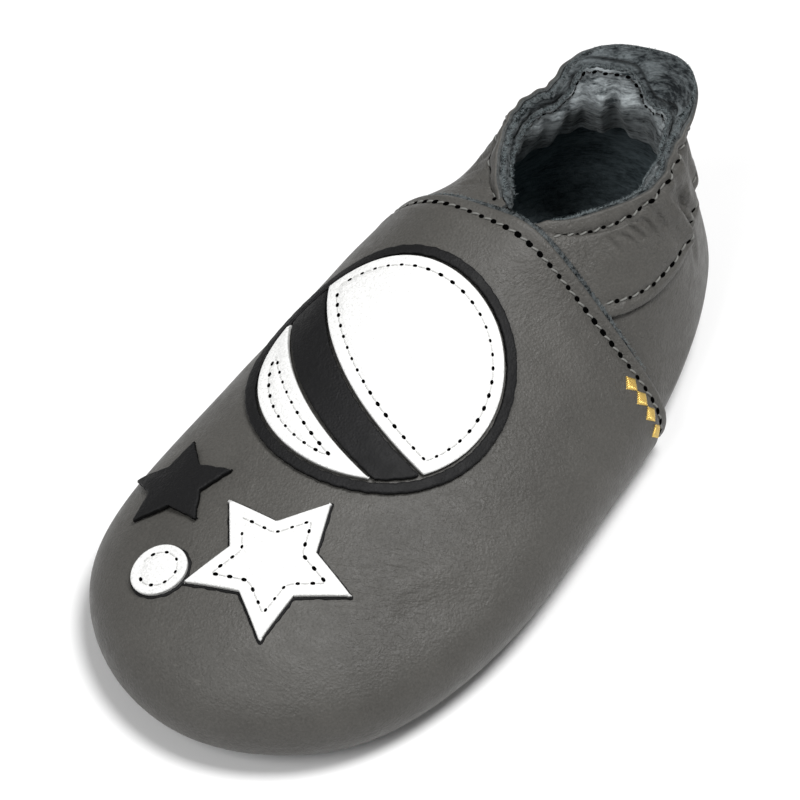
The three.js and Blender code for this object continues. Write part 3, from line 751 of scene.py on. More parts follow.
class Nodes:
    """Short names for the nodes that the materials share."""

    def __init__(self, made):
        self.tree = made.node_tree
        self.coordinates = self.add("ShaderNodeTexCoord").outputs["Object"]

    def add(self, kind, **values):
        node = self.tree.nodes.new(kind)
        for name, value in values.items():
            setattr(node, name, value)
        return node

    def link(self, source, target):
        self.tree.links.new(source, target)

    def stretched(self, longer, turn=0.0):
        """Coordinates for a pattern drawn out this many times along x, y and z, turned in plan."""
        node = self.add("ShaderNodeMapping", vector_type="TEXTURE")
        node.inputs["Scale"].default_value = longer
        node.inputs["Rotation"].default_value = (0, 0, math.radians(turn))
        self.link(self.coordinates, node.inputs["Vector"])
        return node.outputs["Vector"]

    def near(self, at, reach, softness=0.7):
        """One close to a place, nothing beyond its reach."""
        away = self.add("ShaderNodeVectorMath", operation="DISTANCE")
        self.link(self.coordinates, away.inputs[0])
        away.inputs[1].default_value = [value * MM for value in at]
        node = self.add("ShaderNodeMapRange", interpolation_type="SMOOTHSTEP")
        node.inputs["From Min"].default_value = reach * MM
        node.inputs["From Max"].default_value = reach * (1 - softness) * MM
        self.link(away.outputs["Value"], node.inputs["Value"])
        return node.outputs["Result"]

    def noise(self, size_mm, detail=3.0, roughness=0.55, vector=None, distortion=0.0):
        node = self.add("ShaderNodeTexNoise")
        node.inputs["Scale"].default_value = 1 / (size_mm * MM)
        node.inputs["Detail"].default_value = detail
        node.inputs["Roughness"].default_value = roughness
        node.inputs["Distortion"].default_value = distortion
        self.link(vector or self.coordinates, node.inputs["Vector"])
        return node.outputs["Fac"]

    def cells(self, size_mm):
        node = self.add("ShaderNodeTexVoronoi")
        node.inputs["Scale"].default_value = 1 / (size_mm * MM)
        self.link(self.coordinates, node.inputs["Vector"])
        return node.outputs["Distance"]

    def ramp(self, source, stops):
        node = self.add("ShaderNodeValToRGB")
        ramp = node.color_ramp
        while len(ramp.elements) < len(stops):
            ramp.elements.new(0.5)
        for element, (place, colour) in zip(ramp.elements, stops):
            element.position = place
            element.color = (*colour, 1) if len(colour) == 3 else colour
        self.link(source, node.inputs["Fac"])
        return node.outputs["Color"]

    def grey_ramp(self, source, low, high, start=0.3, end=0.7):
        return self.ramp(source, [(start, (low,) * 3), (end, (high,) * 3)])

    def multiply(self, first, second):
        node = self.add("ShaderNodeMix", data_type="RGBA", blend_type="MULTIPLY")
        node.inputs["Factor"].default_value = 1
        self.link(first, node.inputs["A"])
        self.link(second, node.inputs["B"])
        return node.outputs["Result"]

    def times(self, first, second):
        return self.math("MULTIPLY", first, second)

    def summed(self, values):
        total = values[0]
        for value in values[1:]:
            total = self.math("ADD", total, value)
        return total

    def math(self, operation, first, second):
        node = self.add("ShaderNodeMath", operation=operation)
        for value, socket in ((first, node.inputs[0]), (second, node.inputs[1])):
            if isinstance(value, (int, float)):
                socket.default_value = value
            else:
                self.link(value, socket)
        return node.outputs[0]

    def blend(self, share, first, colour):
        """From the first colour to a plain one."""
        node = self.add("ShaderNodeMix", data_type="RGBA")
        self.link(share, node.inputs["Factor"])
        self.link(first, node.inputs["A"])
        node.inputs["B"].default_value = (*colour, 1)
        return node.outputs["Result"]

    def bump(self, height, depth_mm, strength=1.0, under=None):
        node = self.add("ShaderNodeBump")
        node.inputs["Strength"].default_value = strength
        node.inputs["Distance"].default_value = depth_mm * MM
        self.link(height, node.inputs["Height"])
        if under:
            self.link(under, node.inputs["Normal"])
        return node.outputs["Normal"]


# Where the smooth leather wrinkles or pebbles: place in the frame and reach, in millimetres. size: of one
# wrinkle. longer, along: how drawn out it is, and its direction in plan. depth: of its bump.
WRINKLES = rows_of(
    "at reach size longer along depth",
    ((23, -8, 18), 30, 0.7, 3.4, 36, 0.20),
    ((17, -34, 19), 15, 0.8, 3.2, 30, 0.30),
    ((10, 17, 31), 16, 1.2, 2.0, 60, 0.18),
    ((22, 26, 19), 15, 0.8, 1.2, 0, 0.30),
    ((8, 28, 34), 9, 0.7, 2.6, 110, 0.30),
    ((18, 44, 33), 12, 1.0, 2.2, 20, 0.50),
    ((20, 44, 22), 14, 1.3, 1.6, 50, 0.25),
    ((-16, 34, 34), 13, 0.9, 2.4, 160, 0.50),
    ((0, 62, 26), 22, 1.2, 1.4, 0, 0.35),
    ((-20, 48, 22), 18, 1.2, 1.6, 80, 0.35),
    ((-12, -50, 20), 20, 0.8, 1.6, 20, 0.10),
    ((8, -58, 14), 20, 0.8, 2.2, 10, 0.12),
    ((-27, -5, 18), 28, 0.8, 2.4, 100, 0.18),
)
# Small scuffs where the toe and heel rub.
SCUFFS = rows_of(
    "at reach strength",
    ((2, -64, 10), 22, 0.5),
    ((26, -30, 8), 18, 0.35),
    ((0, 66, 10), 18, 0.4),
    ((-26, -30, 8), 18, 0.35),
)


# The way the leather is brushed, in degrees in plan, and how much paler a scuff is.
BRUSHED = 20
SCUFF_PALER = 2.0
# How much each pattern of the suede weighs in its tone, and the way its nap lies.
SUEDE_TONE = dict(strokes=0.45, blotches=0.3, fibres=0.25)
NAP_TURN = 12


def leather(name, colour, roughness=0.52, wrinkle=0.5, cloud=0.08, places=(), scuffs=(), **sockets):
    """Smooth grain leather: soft clouding, fine cells, wrinkles that come and go, and pale scuffs."""
    made, shader = material(name, colour, roughness, **sockets)
    n = Nodes(made)
    base = np.array(colour)
    clouds = n.ramp(n.noise(14, 4), [(0.3, tuple(base * (1 - cloud))), (0.7, tuple(base * (1 + cloud)))])
    specks = n.grey_ramp(n.noise(0.4, 3, 0.7), 0.82, 1.18)
    tone = n.multiply(clouds, specks)
    if scuffs:
        rubbed = n.summed([n.times(n.near(row["at"], row["reach"]), row["strength"]) for row in scuffs])
        streaks = n.grey_ramp(n.noise(0.9, 5, 0.7, n.stretched((2.5, 1, 1), BRUSHED)), 0, 1, 0.6, 0.72)
        tone = n.blend(n.times(rubbed, streaks), tone, tuple(np.minimum(base * SCUFF_PALER, 1)))
    n.link(tone, shader.inputs["Base Color"])
    n.link(n.grey_ramp(n.noise(2.5, 3), roughness - 0.06, roughness + 0.08), shader.inputs["Roughness"])
    grain = n.bump(n.cells(0.45), 0.07, 0.8)
    pores = n.bump(n.noise(0.3, 3, 0.7), 0.09, 0.8, grain)
    lines = n.noise(0.9, 4, 0.6, n.stretched((1.0, 2.2, 1.0), BRUSHED), 0.6)
    patchy = n.grey_ramp(n.noise(11, 2), 0, 1, 0.42, 0.62)
    surface = n.bump(n.times(lines, patchy), 0.22, wrinkle, pores)
    if places:
        creases = []
        for row in places:
            line = n.noise(row["size"], 3, 0.55, n.stretched((row["longer"], 1, 1), row["along"]), 0.5)
            creases.append(n.times(n.times(line, n.near(row["at"], row["reach"])), row["depth"]))
        surface = n.bump(n.summed(creases), 1.0, 1.0, surface)
    n.link(surface, shader.inputs["Normal"])
    return made


def suede(
    name, dark, light, longer=(1, 1, 1), depth=0.25, patch_mm=5.0, stroke_mm=1.1, contrast=0.11, **sockets
):
    """Napped flesh side: mottled, and streaked by handling."""
    made, shader = material(name, light, 0.96, Specular_IOR_Level=0.15, **sockets)
    n = Nodes(made)
    strokes = n.noise(stroke_mm, 5, 0.7, n.stretched(longer, NAP_TURN), 0.4)
    blotches = n.noise(patch_mm, 3, 0.5)
    fibres = n.noise(0.35, 3, 0.7, n.stretched(longer, NAP_TURN))
    patterns = dict(strokes=strokes, blotches=blotches, fibres=fibres)
    tone = n.summed([n.times(pattern, SUEDE_TONE[kind]) for kind, pattern in patterns.items()])
    n.link(n.ramp(tone, [(0.5 - contrast, dark), (0.5 + contrast, light)]), shader.inputs["Base Color"])
    nap = n.bump(n.noise(0.22, 4, 0.7), depth * 0.5, 0.8)
    n.link(n.bump(strokes, depth, 0.9, nap), shader.inputs["Normal"])
    return made


def thread(name, colour, roughness=0.6, **sockets):
    made, shader = material(name, colour, roughness, **sockets)
    n = Nodes(made)
    n.link(n.bump(n.noise(0.12, 2), 0.03, 0.6), shader.inputs["Normal"])
    return made


GREY = leather(
    "grey_leather", (0.075, 0.0722, 0.0662), 0.46, 0.9, 0.1, WRINKLES, SCUFFS, Specular_IOR_Level=0.32
)
GREY_EDGE = suede("grey_cut_edge", (0.03, 0.034, 0.035), (0.11, 0.115, 0.115), depth=0.1, stroke_mm=0.6)
LINING_NAP = (2.4, 2.4, 0.8)
TEAL = suede(
    "teal_suede", (0.007, 0.010, 0.012), (0.155, 0.175, 0.182), LINING_NAP, 0.45,
    contrast=0.08, Sheen_Weight=0.1,
)
TEAL_EDGE = suede(
    "teal_cut_edge", (0.006, 0.009, 0.010), (0.14, 0.155, 0.16),
    depth=0.5, patch_mm=1.3, stroke_mm=0.5, contrast=0.075,
)
# The casing suede is a lighter copy of the lining's teal suede: painted light on the gathered band inside the
# collar.
LIT_CASING_SUEDE = suede(
    "casing_suede_painted_light", (0.02, 0.027, 0.03), (0.44, 0.48, 0.495), LINING_NAP, 0.4,
    contrast=0.1, Sheen_Weight=0.1,
)
# The deep lining is a lighter copy of the lining's teal suede: painted light deep inside the shoe, where
# little light reaches.
LIT_DEEP_LINING = suede("deep_lining_painted_light", (0.035, 0.05, 0.056), (0.19, 0.235, 0.255), (2.0, 2.0, 0.8), 0.2)
DARK = suede("footbed_suede", (0.03, 0.045, 0.052), (0.15, 0.195, 0.215), (1.6, 0.8, 1.0), 0.2)
SOLE = suede("sole_suede", (0.05, 0.06, 0.065), (0.15, 0.17, 0.175), (0.8, 2.0, 1.0), 0.2, 9.0)
WHITE = leather("white_leather", (0.84, 0.84, 0.83), 0.48, 0.25, 0.015)
WHITE_EDGE = leather("white_cut_edge", (0.45, 0.45, 0.44), 0.8, 0.2)
BLACK = leather("black_leather", (0.0065, 0.0065, 0.007), 0.6, 1.0, Specular_IOR_Level=0.22)
BLACK_EDGE = leather("black_cut_edge", (0.004, 0.004, 0.004), 0.9, 0.5, Specular_IOR_Level=0.1)
GREY_THREAD = thread("grey_thread", (0.17, 0.17, 0.16))
BLACK_THREAD = thread("black_thread", (0.006, 0.006, 0.006))
WHITE_THREAD = thread("white_thread", (0.62, 0.62, 0.61))
GOLD_THREAD = thread("gold_thread", (0.78, 0.55, 0.16), 0.32, Metallic=0.75)
FUZZ = thread("suede_fuzz", (0.2, 0.235, 0.245), 0.9)
# Needle holes are near-black discs: painted shade in place of the dark hollow where each stitch dives.
HOLE_SHADE = material("needle_hole_shade", (0.001, 0.001, 0.001), 1.0, Specular_IOR_Level=0.0)[0]


# Thread, and needle holes painted as near-black discs of shade.


def resampled(points, pitch, start):
    """Run of each point along a line, and the places at even steps along it."""
    run = np.concatenate([[0], np.cumsum(np.linalg.norm(np.diff(points, axis=0), axis=1))])
    count = max(int((run[-1] - start) / pitch), 1)
    return run, start + np.arange(count) * pitch


LINE_STEPS = 900
THREAD_SIDES = 6
THREAD_STEPS = 7
HOLE_CORNERS = 10
HOLE_LIFT = 0.1


def tubes(lines, ups, radii, sides=THREAD_SIDES):
    """Points and faces of round threads along lines: arrays of thread by step, with a radius at each step."""
    count, steps = lines.shape[:2]
    side = np.cross(ups, np.gradient(lines, axis=1))
    side /= np.maximum(np.linalg.norm(side, axis=2, keepdims=True), 1e-9)
    around = 2 * math.pi * np.arange(sides) / sides
    spokes = side[:, :, None] * np.cos(around)[:, None] + ups[:, :, None] * np.sin(around)[:, None]
    points = lines[:, :, None] + spokes * radii[..., None, None]
    firsts = np.arange(count) * steps * sides
    walls = (firsts[:, None, None] + ring_faces(steps, sides, False)[None]).reshape(-1, 4)
    near_ends = firsts[:, None] + np.arange(sides)[::-1]
    far_ends = firsts[:, None] + (steps - 1) * sides + np.arange(sides)
    return points.reshape(-1, 3), [walls, np.concatenate([near_ends, far_ends])]


def along_line(where, run, values):
    return np.stack([np.interp(where, run, values[:, k]) for k in range(3)], -1)


def unit(vectors):
    return vectors / np.maximum(np.linalg.norm(vectors, axis=-1, keepdims=True), 1e-9)


# Kinds of stitch: pitch, the share of it that shows thread, the thread's radius, the half sizes of the needle
# hole's disc of painted shade and how far the thread lies aslant, in millimetres.
VAMP_SEW = dict(pitch=2.35, shown=0.6, radius=0.2, hole=(0.56, 0.46), slant=0.22)
SEAM_SEW = dict(pitch=2.4, shown=0.6, radius=0.18, hole=(0.5, 0.38), slant=0.18)
COLLAR_SEW = dict(pitch=2.3, shown=0.6, radius=0.18, hole=(0.5, 0.4), slant=0.18)
CASING_SEW = dict(pitch=2.0, shown=0.5, radius=0.13, hole=(0.4, 0.28), slant=0.0)
PATCH_SEW = dict(pitch=2.3, shown=0.62, radius=0.13, hole=(0.4, 0.27), slant=0.0)
SEW_START = 0.3
THREAD_SINK = dict(high=0.75, deep=1.7, thin=0.3)
HOLE_SWING = 0.18


def sew(name, params, place, height, stitch, thread_material, slot="grey_leather"):
    """A row of stitches along a line on a sheet: short threads, a little askew, that sink into holes. Each
    hole is a near-black disc of painted shade just above the leather.
    """
    pitch, radius, hole = stitch["pitch"], stitch["radius"], stitch["hole"]
    centre = place(params, height)
    up = place(params, height + 1.0) - centre
    run, starts = resampled(centre, pitch, SEW_START * pitch)
    length = pitch * stitch["shown"]
    share = np.linspace(-1, 1, THREAD_STEPS)
    where = starts[:, None] + length * (share[None, :] + 1) / 2
    ups = unit(along_line(where, run, up))
    line = along_line(where, run, centre)
    aside = unit(np.cross(ups, np.gradient(line, axis=1)))
    sunk = THREAD_SINK["high"] - THREAD_SINK["deep"] * share**4
    line = line + ups * (radius * sunk)[:, None] + aside * (stitch["slant"] * share)[:, None]
    radii = np.broadcast_to(radius * (1 - THREAD_SINK["thin"] * share**4), where.shape)
    points, faces = tubes(line, ups, radii)
    wear(new_mesh(name + "_thread", points, faces, [thread_material]), slot)
    where = starts + length + (pitch - length) / 2
    spot, out = along_line(where, run, centre), unit(along_line(where, run, up))
    tangent = unit(along_line(where + 0.05, run, centre) - along_line(where - 0.05, run, centre))
    side = np.cross(out, tangent)
    turn = 2 * math.pi * np.arange(HOLE_CORNERS) / HOLE_CORNERS
    swing = 1 + HOLE_SWING * np.sin(3 * where + 1.7)[:, None, None]
    long_way = tangent[:, None] * (hole[0] * np.cos(turn))[:, None]
    short_way = side[:, None] * (hole[1] * np.sin(turn))[:, None]
    hole_shades = (spot + out * HOLE_LIFT)[:, None] + (long_way + short_way) * swing
    rounds = np.arange(len(where) * HOLE_CORNERS).reshape(-1, HOLE_CORNERS)
    wear(new_mesh(name + "_hole_shades", hole_shades.reshape(-1, 3), [rounds], [HOLE_SHADE]), slot)


FUZZ_SEED = 11
FUZZ_STEPS = 4
FUZZ_SIDES = 3
FUZZ_RADIUS = 0.035
LINING_FIBRES = 700
CASING_FIBRES = 1500
RIM_FIBRES = 1700


def fuzz(name, line, ups, outs, count, length, slot="suede"):
    """Loose fibres along a raw edge, each curling away from it."""
    draws = np.random.default_rng(FUZZ_SEED)
    run = np.concatenate([[0], np.cumsum(np.linalg.norm(np.diff(line, axis=0), axis=1))])
    where = draws.uniform(0, run[-1], count)
    root, up, out = along_line(where, run, line), along_line(where, run, ups), along_line(where, run, outs)
    tangent = unit(along_line(where + 0.1, run, line) - along_line(where - 0.1, run, line))
    lean = draws.normal(0, 0.55, (3, count, 1))
    first = unit(up * (0.6 + lean[0]) + out * (0.7 + lean[1]) + tangent * lean[2])
    curl = unit(first + tangent * draws.normal(0, 0.9, (count, 1)) + up * draws.normal(0, 0.5, (count, 1)))
    reach = length * draws.uniform(0.35, 1.0, (count, 1, 1))
    share = np.linspace(0, 1, FUZZ_STEPS)[None, :, None]
    root = root + out * draws.normal(0, 0.15, (count, 1))
    lines = root[:, None] + (first[:, None] * share + (curl - first)[:, None] * share**2 * 0.5) * reach
    radii = FUZZ_RADIUS * (1.15 - share[..., 0]) * np.ones((count, 1))
    across = np.broadcast_to(unit(np.cross(first, tangent))[:, None], lines.shape)
    points, faces = tubes(lines, across, radii, FUZZ_SIDES)
    wear(new_mesh(name, points, faces, [FUZZ]), slot)


# The shell of the shoe: leather outside, suede inside, one closed piece from the turned-in foot to the rim.


def on_skin(params, height):
    return hide(params[:, 0], params[:, 1], height)


def off_skin(params, height):
    """The same without folds."""
    return skin(params[:, 0], params[:, 1]) + height * normal(params[:, 0], params[:, 1])


def dense_behind(count, front_share):
    """Places round the shoe, closer together behind the vamp."""
    edge = float(np.interp(VAMP_EDGE, outline(column_u[:COLUMNS // 2])[1], column_u[:COLUMNS // 2]))
    front = int(count * front_share)
    rear = np.linspace(edge, 1 - edge, count - front, endpoint=False)
    return np.sort(np.concatenate([rear, np.linspace(1 - edge, 1 + edge, front, endpoint=False) % 1]))


# In front, behind the vamp's edge, the rim lies down: it fades out between these turns.
RIM_FRONT = dict(low=2, full=12, medial_low=-14, medial_full=-25)
RIM_SUNK = 0.03


def rim_w(u, w):
    """w of a place on the rim, which sinks behind the vamp's edge."""
    turn = (turn_of(*outline(u)) + 180) % 360 - 180
    lateral = smooth(RIM_FRONT["low"], RIM_FRONT["full"], turn)
    medial = smooth(-RIM_FRONT["medial_low"], -RIM_FRONT["medial_full"], -turn)
    standing = np.maximum(lateral, medial)
    return np.where(w > 2, 2 + (w - 2) * standing - RIM_SUNK * (1 - standing), w)


RIM_TOUCH = 0.22
# Beside the casing's edge, in millimetres above it: a groove and a second ridge.
CASING_SIDE = rows_of("at width height", (1.5, 0.4, 0.35), (0.8, 0.3, -0.3))
RIM_WALL = 0.65


def outer_height(u, w):
    """The shell meets the cuff's leather at the rim."""
    return RIM_TOUCH * smooth(2.4, 2.85, w)


def inner_height(u, w):
    """The wall thins towards the rim, and a second ridge runs beside the casing's edge."""
    down = below(u, w)
    over = stitch_down(turn_of(*outline(u))) - CASING_SEAM - down
    return -mix(WALL, RIM_WALL, smooth(0.5, 3.5, over)) - ridges(over, CASING_SIDE) * smooth(2.0, 2.1, w)


# How closely the shell is drawn: places round it, the share of them in front, and rows from w to w.
SHELL_COLUMNS = 430
FRONT_SHARE = 0.2
RIM_END = 2.93
OUTSIDE_ROWS = dict(places=(0, 1, 1.55, 2), counts=(10, 22, 40))
RIM_ROWS = 14
INSIDE_ROWS = dict(places=(RIM_END, 2, 1.4, 0), counts=(44, 26, 14))
# The rim's rounded top: its w, and the share of the way from the outer face to the inner one.
RIM_BEND = rows_of("w share", (2.975, 0.12), (3.0, 0.4), (3.0, 0.75), (2.975, 0.95))
# From this row of the inside on, the lining wears a lighter copy of its suede: painted light deep inside the
# shoe.
LIT_LINING_ROW = 50


def shell_of_shoe():
    u = dense_behind(SHELL_COLUMNS, FRONT_SHARE)
    outside = runs(**OUTSIDE_ROWS)[:-1]
    rim = np.linspace(2, RIM_END, RIM_ROWS)
    inside = runs(**INSIDE_ROWS)
    rings = [(w, outer_height) for w in np.concatenate([outside, rim])]
    for bend in RIM_BEND:
        rings.append((bend["w"], lambda u, w, share=bend["share"]: mix(RIM_TOUCH, inner_height(u, w), share)))
    rings += [(w, inner_height) for w in inside]
    points = []
    for w, height in rings:
        ring = rim_w(u, np.full(len(u), w))
        points.append(hide(u, ring, height(u, ring), INNER_SHARE if height is inner_height else 1.0))
    outer_rows = len(outside) + len(rim) - 1
    edge_rows = outer_rows + len(RIM_BEND)
    changes = (outer_rows, edge_rows, edge_rows + LIT_LINING_ROW)
    slots = np.repeat([sum(i >= row for row in changes) for i in range(len(rings))], len(u))
    faces = ring_faces(len(rings), len(u), True)
    # Deep inside, the lining wears the lighter copy of its suede, painted light.
    shell = new_mesh("heel_shell", np.concatenate(points), [faces], [GREY, TEAL_EDGE, TEAL, LIT_DEEP_LINING], slots)
    wear(shell, "grey_leather", ["upper"])


shell_of_shoe()


# The vamp: leather over the front with a straight rear edge.

vamp_outline_y = outline(column_u)[1]
HALFWAY = COLUMNS // 2


def u_at_outline(y, lateral):
    if lateral:
        return float(np.interp(y, vamp_outline_y[:HALFWAY], column_u[:HALFWAY]))
    return float(np.interp(y, vamp_outline_y[HALFWAY:][::-1], column_u[HALFWAY:][::-1])) - 1


VAMP_TOP = FIT_GAP + VAMP_THICK
VAMP_STITCH = 2.1
VAMP_FOOT = 0.22
VAMP_ROUND = 0.5
VAMP_COLUMNS = 380
VAMP_ROWS = dict(places=(VAMP_FOOT, 1, 2), counts=(12, 118))
# Across the vamp's rear edge: the dip of the stitches and the swellings beside it.
VAMP_SIDE = rows_of("at width height", (VAMP_STITCH, 0.75, -0.24), (0.9, 0.5, 0.14), (3.9, 1.0, 0.12))


def vamp_field(params):
    """Millimetres in front of the vamp's rear edge."""
    return VAMP_EDGE - off_skin(params, VAMP_TOP)[:, 1]


def vamp_height(params):
    """The leather dips along its stitches and swells a little beside them."""
    return VAMP_TOP + ridges(vamp_field(params), VAMP_SIDE)


def vamp():
    rear = VAMP_EDGE + 2
    u = np.linspace(u_at_outline(rear, False), u_at_outline(rear, True), VAMP_COLUMNS)
    sheet = Sheet.grid(u, runs(**VAMP_ROWS))
    piece, sheet = slab(
        "vamp_leather", sheet, on_skin, vamp_field, vamp_height, FIT_GAP, VAMP_ROUND,
        [GREY, GREY_EDGE], (VAMP_STITCH,),
    )
    wear(piece, "grey_leather", ["vamp"])
    return sheet


vamp_sheet = vamp()
vamp_line = vamp_sheet.lines(VAMP_STITCH)[0]
sew("vamp_stitch", vamp_line, on_skin, vamp_height(vamp_line), VAMP_SEW, GREY_THREAD)


# Raw suede edge of the vamp's lining, which peeks out behind it.


LINING_COLUMNS = 700
LINING_ROWS = dict(places=(0.6, 1, 2), counts=(8, 160))
# How far the edge peeks out: low down on the sides, and over the instep.
PEEK_LOW = 0.12
PEEK_HIGH = 0.62


def lining_edge():
    rear = VAMP_EDGE + 3
    u = np.linspace(u_at_outline(rear, False), u_at_outline(rear, True), LINING_COLUMNS)
    sheet = Sheet.grid(u, runs(**LINING_ROWS))
    sheet.keep(vamp_field, -1.5)
    sheet.keep(lambda params: 1.5 - vamp_field(params))

    def field(params):
        back = vamp_field(params)
        u_run = params[:, 0] * outline_run[-1]
        ragged = 0.1 * np.sin(u_run * 2.1) + 0.08 * np.sin(u_run * 5.3 + 1)
        peek = mix(PEEK_LOW, PEEK_HIGH, smooth(1.5, 1.8, params[:, 1]))
        return np.minimum(back + peek + ragged, 1.2 - back)

    def top(params):
        return np.full(len(params), VAMP_TOP - 0.28)

    piece = slab("vamp_lining_edge", sheet, on_skin, field, top, FIT_GAP, 0.25, [TEAL_EDGE, TEAL_EDGE])[0]
    wear(piece, "suede")


lining_edge()


def lining_fuzz():
    line = vamp_sheet.lines(0.0)[0]
    line = line[line[:, 1] > 1.45]
    base = on_skin(line, np.full(len(line), VAMP_TOP - 0.5))
    out = np.broadcast_to(np.array([0.0, 1.0, 0.0]), base.shape)
    up = unit(on_skin(line, np.full(len(line), VAMP_TOP + 1.0)) - base)
    fuzz("lining_fuzz", base + out * 0.35, up, out, LINING_FIBRES, 0.6)


lining_fuzz()


# A small mark of gold thread in the rear corner of the vamp: a row of satin-stitched lozenges.

GOLD_MARKS = rows_of(
    "back w length tall",
    (4.1, 1.47, 2.5, 2.7),
    (4.1, 1.355, 2.5, 2.7),
    (4.1, 1.225, 2.5, 2.7),
    (4.1, 1.07, 2.5, 2.7),
)
GOLD_THREADS = 11
GOLD_RADIUS = 0.16


def lateral_place(back, w):
    """u and w of the place this far in front of the vamp's edge on the outer side."""
    u = np.linspace(0.1, u_at_outline(VAMP_EDGE + 3, True), 200)
    found = []
    for b, row in zip(back, w):
        field = vamp_field(np.stack([u, np.full(len(u), row)], 1))
        found.append(np.interp(b, field[::-1], u[::-1]))
    return np.stack([np.array(found), w], 1)


def gold_mark():
    lines, ups = [], []
    share = np.linspace(-1, 1, THREAD_STEPS)
    for row in GOLD_MARKS:
        here = on_skin(lateral_place([row["back"]] * 2, [row["w"], row["w"] + 0.02]), np.full(2, VAMP_TOP))
        per_w = np.linalg.norm(here[1] - here[0]) / 0.02
        for place in np.linspace(-1, 1, GOLD_THREADS):
            half = row["length"] / 2 * (1 - abs(place)) + 0.12
            back = row["back"] + half * share
            w = np.full(THREAD_STEPS, row["w"] + place * row["tall"] / 2 / per_w)
            params = lateral_place(back, w)
            base = on_skin(params, vamp_height(params))
            up = unit(on_skin(params, vamp_height(params) + 1) - base)
            lines.append(base + up * (GOLD_RADIUS * (0.9 - 1.6 * share**6))[:, None])
            ups.append(up)
    lines, ups = np.array(lines), np.array(ups)
    points, faces = tubes(lines, ups, np.full(lines.shape[:2], GOLD_RADIUS))
    wear(new_mesh("gold_thread_mark", points, faces, [GOLD_THREAD]), "grey_leather")


gold_mark()


# The ankle cuff: leather over the shell's rear, from the rim down to a curved seam.

seam_backs = [row["back"] * HALF for row in CUFF_SEAM]
seam_height = spline(seam_backs, [row["height"] * HEEL_HEIGHT for row in CUFF_SEAM])
CUFF_HIGH = FIT_GAP + CUFF_THICK
SEAM_STITCH = 2.0
# Across the cuff's lower edge, the same way.
CUFF_SIDE = rows_of("at width height", (SEAM_STITCH, 0.7, -0.2), (1.0, 0.55, 0.14), (3.4, 1.0, 0.12))


def cuff_place(params):
    return off_skin(params, CUFF_HIGH)


def seam_field(params):
    """Millimetres above the cuff's lower edge."""
    place = cuff_place(params)
    return np.where(params[:, 1] > 2.05, 9.0, place[:, 2] - seam_height(place[:, 1]))


def cuff_field(params):
    place = cuff_place(params)
    behind = place[:, 1] - VAMP_EDGE - BUTT_GAP + 1.2
    rim = rim_w(params[:, 0], np.full(len(params), CUFF_TOP))
    under_rim = below(params[:, 0], params[:, 1]) - below(params[:, 0], rim)
    return np.minimum(np.minimum(behind, seam_field(params)), under_rim)


def cuff_height(params):
    """The leather dips along its stitches and swells a little beside them."""
    return CUFF_HIGH + ridges(seam_field(params), CUFF_SIDE)


CUFF_TURNS = (4, 58, 302, 354)
CUFF_COLUMNS = (130, 370, 120)
CUFF_ROWS = dict(places=(1.02, 1.5, 2, 2.96), counts=(34, 64, 22))
CUFF_ROUND = 0.35


def cuff():
    sheet = Sheet.grid(runs([u_of_turn(turn) for turn in CUFF_TURNS], CUFF_COLUMNS), runs(**CUFF_ROWS))
    sheet.keep(cuff_field, -1.5)
    piece = slab(
        "cuff_leather", sheet, on_skin, cuff_field, cuff_height, FIT_GAP, CUFF_ROUND,
        [GREY, GREY_EDGE], (SEAM_STITCH,),
    )[0]
    wear(piece, "grey_leather", ["ankle_cuff"])


cuff()


def seam_line():
    """Along the seam on the cuff, where its field is the seam's own."""
    u = np.linspace(u_of_turn(15), u_of_turn(345), LINE_STEPS)
    rows = np.linspace(1.02, 2.0, 300)
    params = np.stack([np.repeat(u, len(rows)), np.tile(rows, len(u))], 1)
    above = (seam_field(params) - SEAM_STITCH).reshape(len(u), len(rows))
    w = np.array([np.interp(0, line, rows) for line in above])
    line = np.stack([u, w], 1)
    return line[cuff_place(line)[:, 1] > VAMP_EDGE + 0.8]


seam = seam_line()
sew("seam_stitch", seam, on_skin, cuff_height(seam), SEAM_SEW, GREY_THREAD)


def collar_line():
    """Along the collar's stitches."""
    turn = np.linspace(6, 352, LINE_STEPS)
    u = u_of_turn(turn)
    return np.stack([u, w_below(u, stitch_down(turn))], 1)


collar = collar_line()
collar = collar[cuff_place(collar)[:, 1] > VAMP_EDGE + 0.8]
sew("collar_stitch", collar, on_skin, cuff_height(collar), COLLAR_SEW, GREY_THREAD)


# The elastic casing: a gathered suede band inside the collar.

# Deep folds of the band: where each stands in, half its width in degrees, how far it stands in, and how far
# below the raw edge it begins.
CASING_FOLDS = rows_of(
    "turn width stand start",
    (20, 6, 0.5, 1.0),
    (38, 6, 0.8, 1.0),
    (56, 6, 0.7, 1.0),
    (74, 6, 0.8, 0.5),
    (93, 9, 1.7, -2.5),
    (110, 6, 0.7, 1.0),
    (126, 7, 1.1, 0.4),
    (143, 7, 1.2, 0.8),
    (158, 6, 0.9, 1.2),
    (176, 9, 1.4, 1.2),
    (203, 11, 1.7, 1.4),
    (226, 7, 0.8, 1.2),
    (246, 9, 1.3, 0.8),
    (265, 8, 1.1, 0.6),
    (283, 7, 0.9, 0.8),
    (300, 6, 0.9, 0.8),
    (317, 6, 0.8, 1.0),
    (335, 6, 0.5, 1.0),
)
CASING_RISE = rows_of(
    "turn lift",
    (0, -2.2),
    (25, 1.2),
    (60, 0.9),
    (85, 0.7),
    (95, 0.9),
    (108, 0.2),
    (150, 0.0),
    (230, 0.0),
    (290, 0.2),
    (325, 0.6),
    (345, -1.0),
)
casing_lift = turn_curve(CASING_RISE, "lift")


